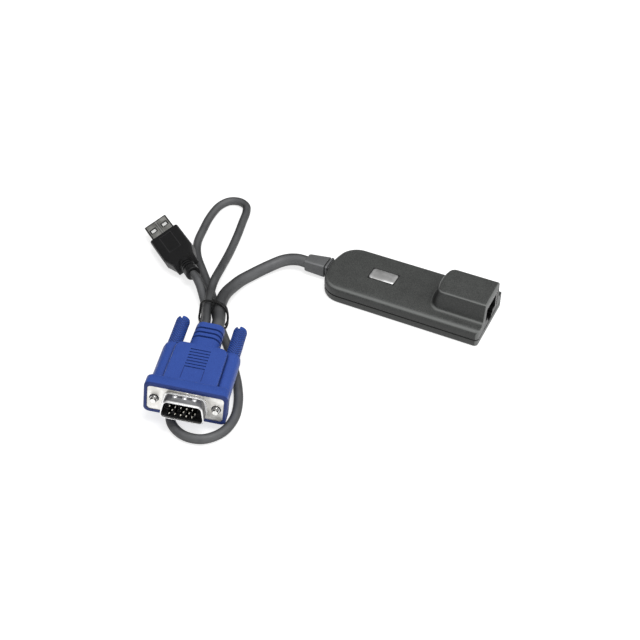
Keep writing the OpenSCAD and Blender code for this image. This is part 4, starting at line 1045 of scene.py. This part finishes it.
# %% The two threads
def thread(name, side):
    holder = add_object(name + "_winding", bpy.data.meshes.new(name + "_winding"))
    by_tree(holder, THREAD_TREE, Finish=LOOKS["thread_steel"])
    mesh = bmesh.new()
    mesh.from_mesh(settle(holder).data)
    bpy.data.objects.remove(holder)
    place = Matrix.Translation(Vector((side * SCREW_HALF, THREAD_TOP, 0)) * MM)
    bmesh.ops.transform(mesh, matrix=VIDEO @ place @ Matrix.Rotation(math.pi / 2, 4, "X"),
                        verts=mesh.verts)
    bmesh.ops.recalc_face_normals(mesh, faces=mesh.faces)
    return finish_mesh(name, mesh, "thread_steel")


for name, side in (("left", -1), ("right", 1)):
    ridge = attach(thread(name + "_thread", side), name + "_screw")
    print(name, "thread:", len(ridge.data.polygons), "faces")


# %% [markdown]
# ## Badge plate
#
# The real housing carries a small bright domed plate, set in a shallow seat. It stays bare here,
# with no mark on it. Rings of a rounded rectangle, each a little smaller and higher than the one
# before, give the dome. A bevel on a flat plate would give only a chamfer. It is grey in the
# middle, with a painted highlight on its left end and its lower right edge.

# %% Look and shape of the badge plate
BADGE_STEPS = [(0.0, -0.05), (0.0, 0.12), (0.1, 0.22), (0.35, 0.32), (0.8, 0.4), (1.5, 0.46),
               (2.6, 0.5)]
CORNER_R, CORNER_SHRINK, CORNER_STEPS = 1.3, 0.4, 8

tree, shader = metal("badge_silver", rgb(226, 226, 225), rgb(206, 206, 205), (0.42, 0.52))
x, y = (maths(tree, "SUBTRACT", at, centre) for at, centre in zip(object_mm(tree), BADGE))
# painted highlight on the left end and the lower right edge
left = remap(tree, x, 0.4 - BADGE_HALF[0], 2.4 - BADGE_HALF[0], 0.9, 0.0)
low = times(tree, remap(tree, y, 0.5 - BADGE_HALF[1], 1.3 - BADGE_HALF[1], 1.0, 0.0),
            remap(tree, x, 0.0, 2.5))
paint(tree, shader, maths(tree, "MAXIMUM", left, low), WHITE)


def badge_ring(inset, up):
    """A rounded rectangle round the badge's centre, smaller by the inset."""
    hx, hy = (half - inset for half in BADGE_HALF)
    r = CORNER_R - CORNER_SHRINK * inset
    corners = [(hx - r, -hy + r, -90), (hx - r, hy - r, 0), (-hx + r, hy - r, 90),
               (-hx + r, -hy + r, 180)]
    turns = [(x, y, math.radians(a + 90 * i / CORNER_STEPS)) for x, y, a in corners
             for i in range(CORNER_STEPS + 1)]
    return [((x + r * math.cos(a) + BADGE[0]) * MM, (y + r * math.sin(a) + BADGE[1]) * MM,
             (TOP_Z + up) * MM) for x, y, a in turns]


badge = skin_over("badge_plate", [badge_ring(*step) for step in BADGE_STEPS], "badge_silver")
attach(badge, "root")
print("badge", 2 * BADGE_HALF[0], "x", 2 * BADGE_HALF[1], "mm,", len(badge.data.polygons), "faces")

# %% [markdown]
# ## Cords
#
# The short thick cable ends in the video plug. The thin one leaves that plug's relief, loops twice
# and ends in the USB plug. The tie holds both.

# %% [markdown]
# ## Camera
#
# The photograph was taken from the right and above, with a longish lens, which keeps the
# housing's sides nearly parallel. Its place was fitted to points of the object whose real
# sizes are known. A camera set by eye would put the plugs at a wrong slant.

# %% Camera
CAMERA_AT, CAMERA_AIM = (131.4, -356.6, 327.6), (-0.0298, -0.0296, 0)
LENS, SENSOR, NEAR, FAR = 61.9, 36, 0.01, 20


def aim(piece, target):
    piece.rotation_euler = (Vector(target) - piece.location).to_track_quat("-Z", "Y").to_euler()


camera = add_object("camera", bpy.data.cameras.new("camera"))
bpy.context.scene.camera = camera
camera.data.lens, camera.data.sensor_width = LENS, SENSOR
camera.data.clip_start, camera.data.clip_end = NEAR, FAR
camera.location = Vector(CAMERA_AT) * MM
aim(camera, CAMERA_AIM)
print("camera", round((camera.location - Vector(CAMERA_AIM)).length, 3), "m away, lens", LENS, "mm")

# %% [markdown]
# ## Floor
#
# The photograph shows the object on plain white. A white table could be lit until it burns
# out, but that much light would spill on the object. So the floor is a mid grey that glows
# only for rays from the camera, from mirrors and through glass. It looks white, and it still
# keeps a soft shadow.

# %% Floor
FLOOR_TONE, FLOOR_GLOW, FLOOR_SIZE, FLOOR_ROUGH = 0.6, 0.7, 6, 0.9

tree, shader = blank("floor")
ray = put(tree, "ShaderNodeLightPath").outputs
seen = maths(tree, "MAXIMUM", ray["Is Camera Ray"], ray["Is Glossy Ray"])
seen = maths(tree, "MAXIMUM", seen, ray["Is Transmission Ray"])
wire(tree, shader["Base Color"], (FLOOR_TONE, FLOOR_TONE, FLOOR_TONE, 1))
wire(tree, shader["Roughness"], FLOOR_ROUGH)
wire(tree, shader["Specular IOR Level"], 0.0)
wire(tree, shader["Emission Color"], WHITE)
wire(tree, shader["Emission Strength"], times(tree, seen, FLOOR_GLOW))

sheet = bmesh.new()
bmesh.ops.create_grid(sheet, x_segments=2, y_segments=2, size=FLOOR_SIZE)
floor = finish_mesh("floor", sheet, "floor")
print("floor", 2 * FLOOR_SIZE, "m wide, glow", FLOOR_GLOW)

# %% [markdown]
# ## Sky and lights
#
# The light of the photograph is soft and comes mostly from above and a little from the right,
# as from a big tent. A picture of a studio could give it, but a sum does too: the sky gets
# brighter towards one direction overhead. Two discs add the key light and a faint fill, which
# draw the lines of light along the edges.

# %% Sky and lights
SKY_FROM, SKY_TO, SKY_LOW, SKY_HIGH = 0.05, 0.95, 0.1, 0.72
SKY_TOWARD, LIT = (0.33, -0.08, 0.94), (-0.03, -0.04, 0)

bpy.context.scene.world = bpy.data.worlds.new("studio")
bpy.context.scene.world.use_nodes = True
tree = bpy.context.scene.world.node_tree
sky = tree.nodes["Background"].inputs
level = remap(tree, dot(tree, where(tree, "Generated"), SKY_TOWARD), SKY_FROM, SKY_TO, SKY_LOW,
              SKY_HIGH)
wire(tree, sky["Color"], WHITE)
wire(tree, sky["Strength"], level)


def disc_light(name, place, size, power):
    light = add_object(name, bpy.data.lights.new(name, "AREA"))
    light.data.shape, light.data.size, light.data.energy = "DISK", size, power
    light.location = place
    aim(light, LIT)


disc_light("key", (0.16, -0.12, 0.8), 0.4, 2.6)
disc_light("fill", (0.6, -0.2, 0.4), 0.4, 0.3)
bpy.context.scene.view_settings.view_transform = "Standard"
print("sky from", SKY_LOW, "to", SKY_HIGH, "and two lights")
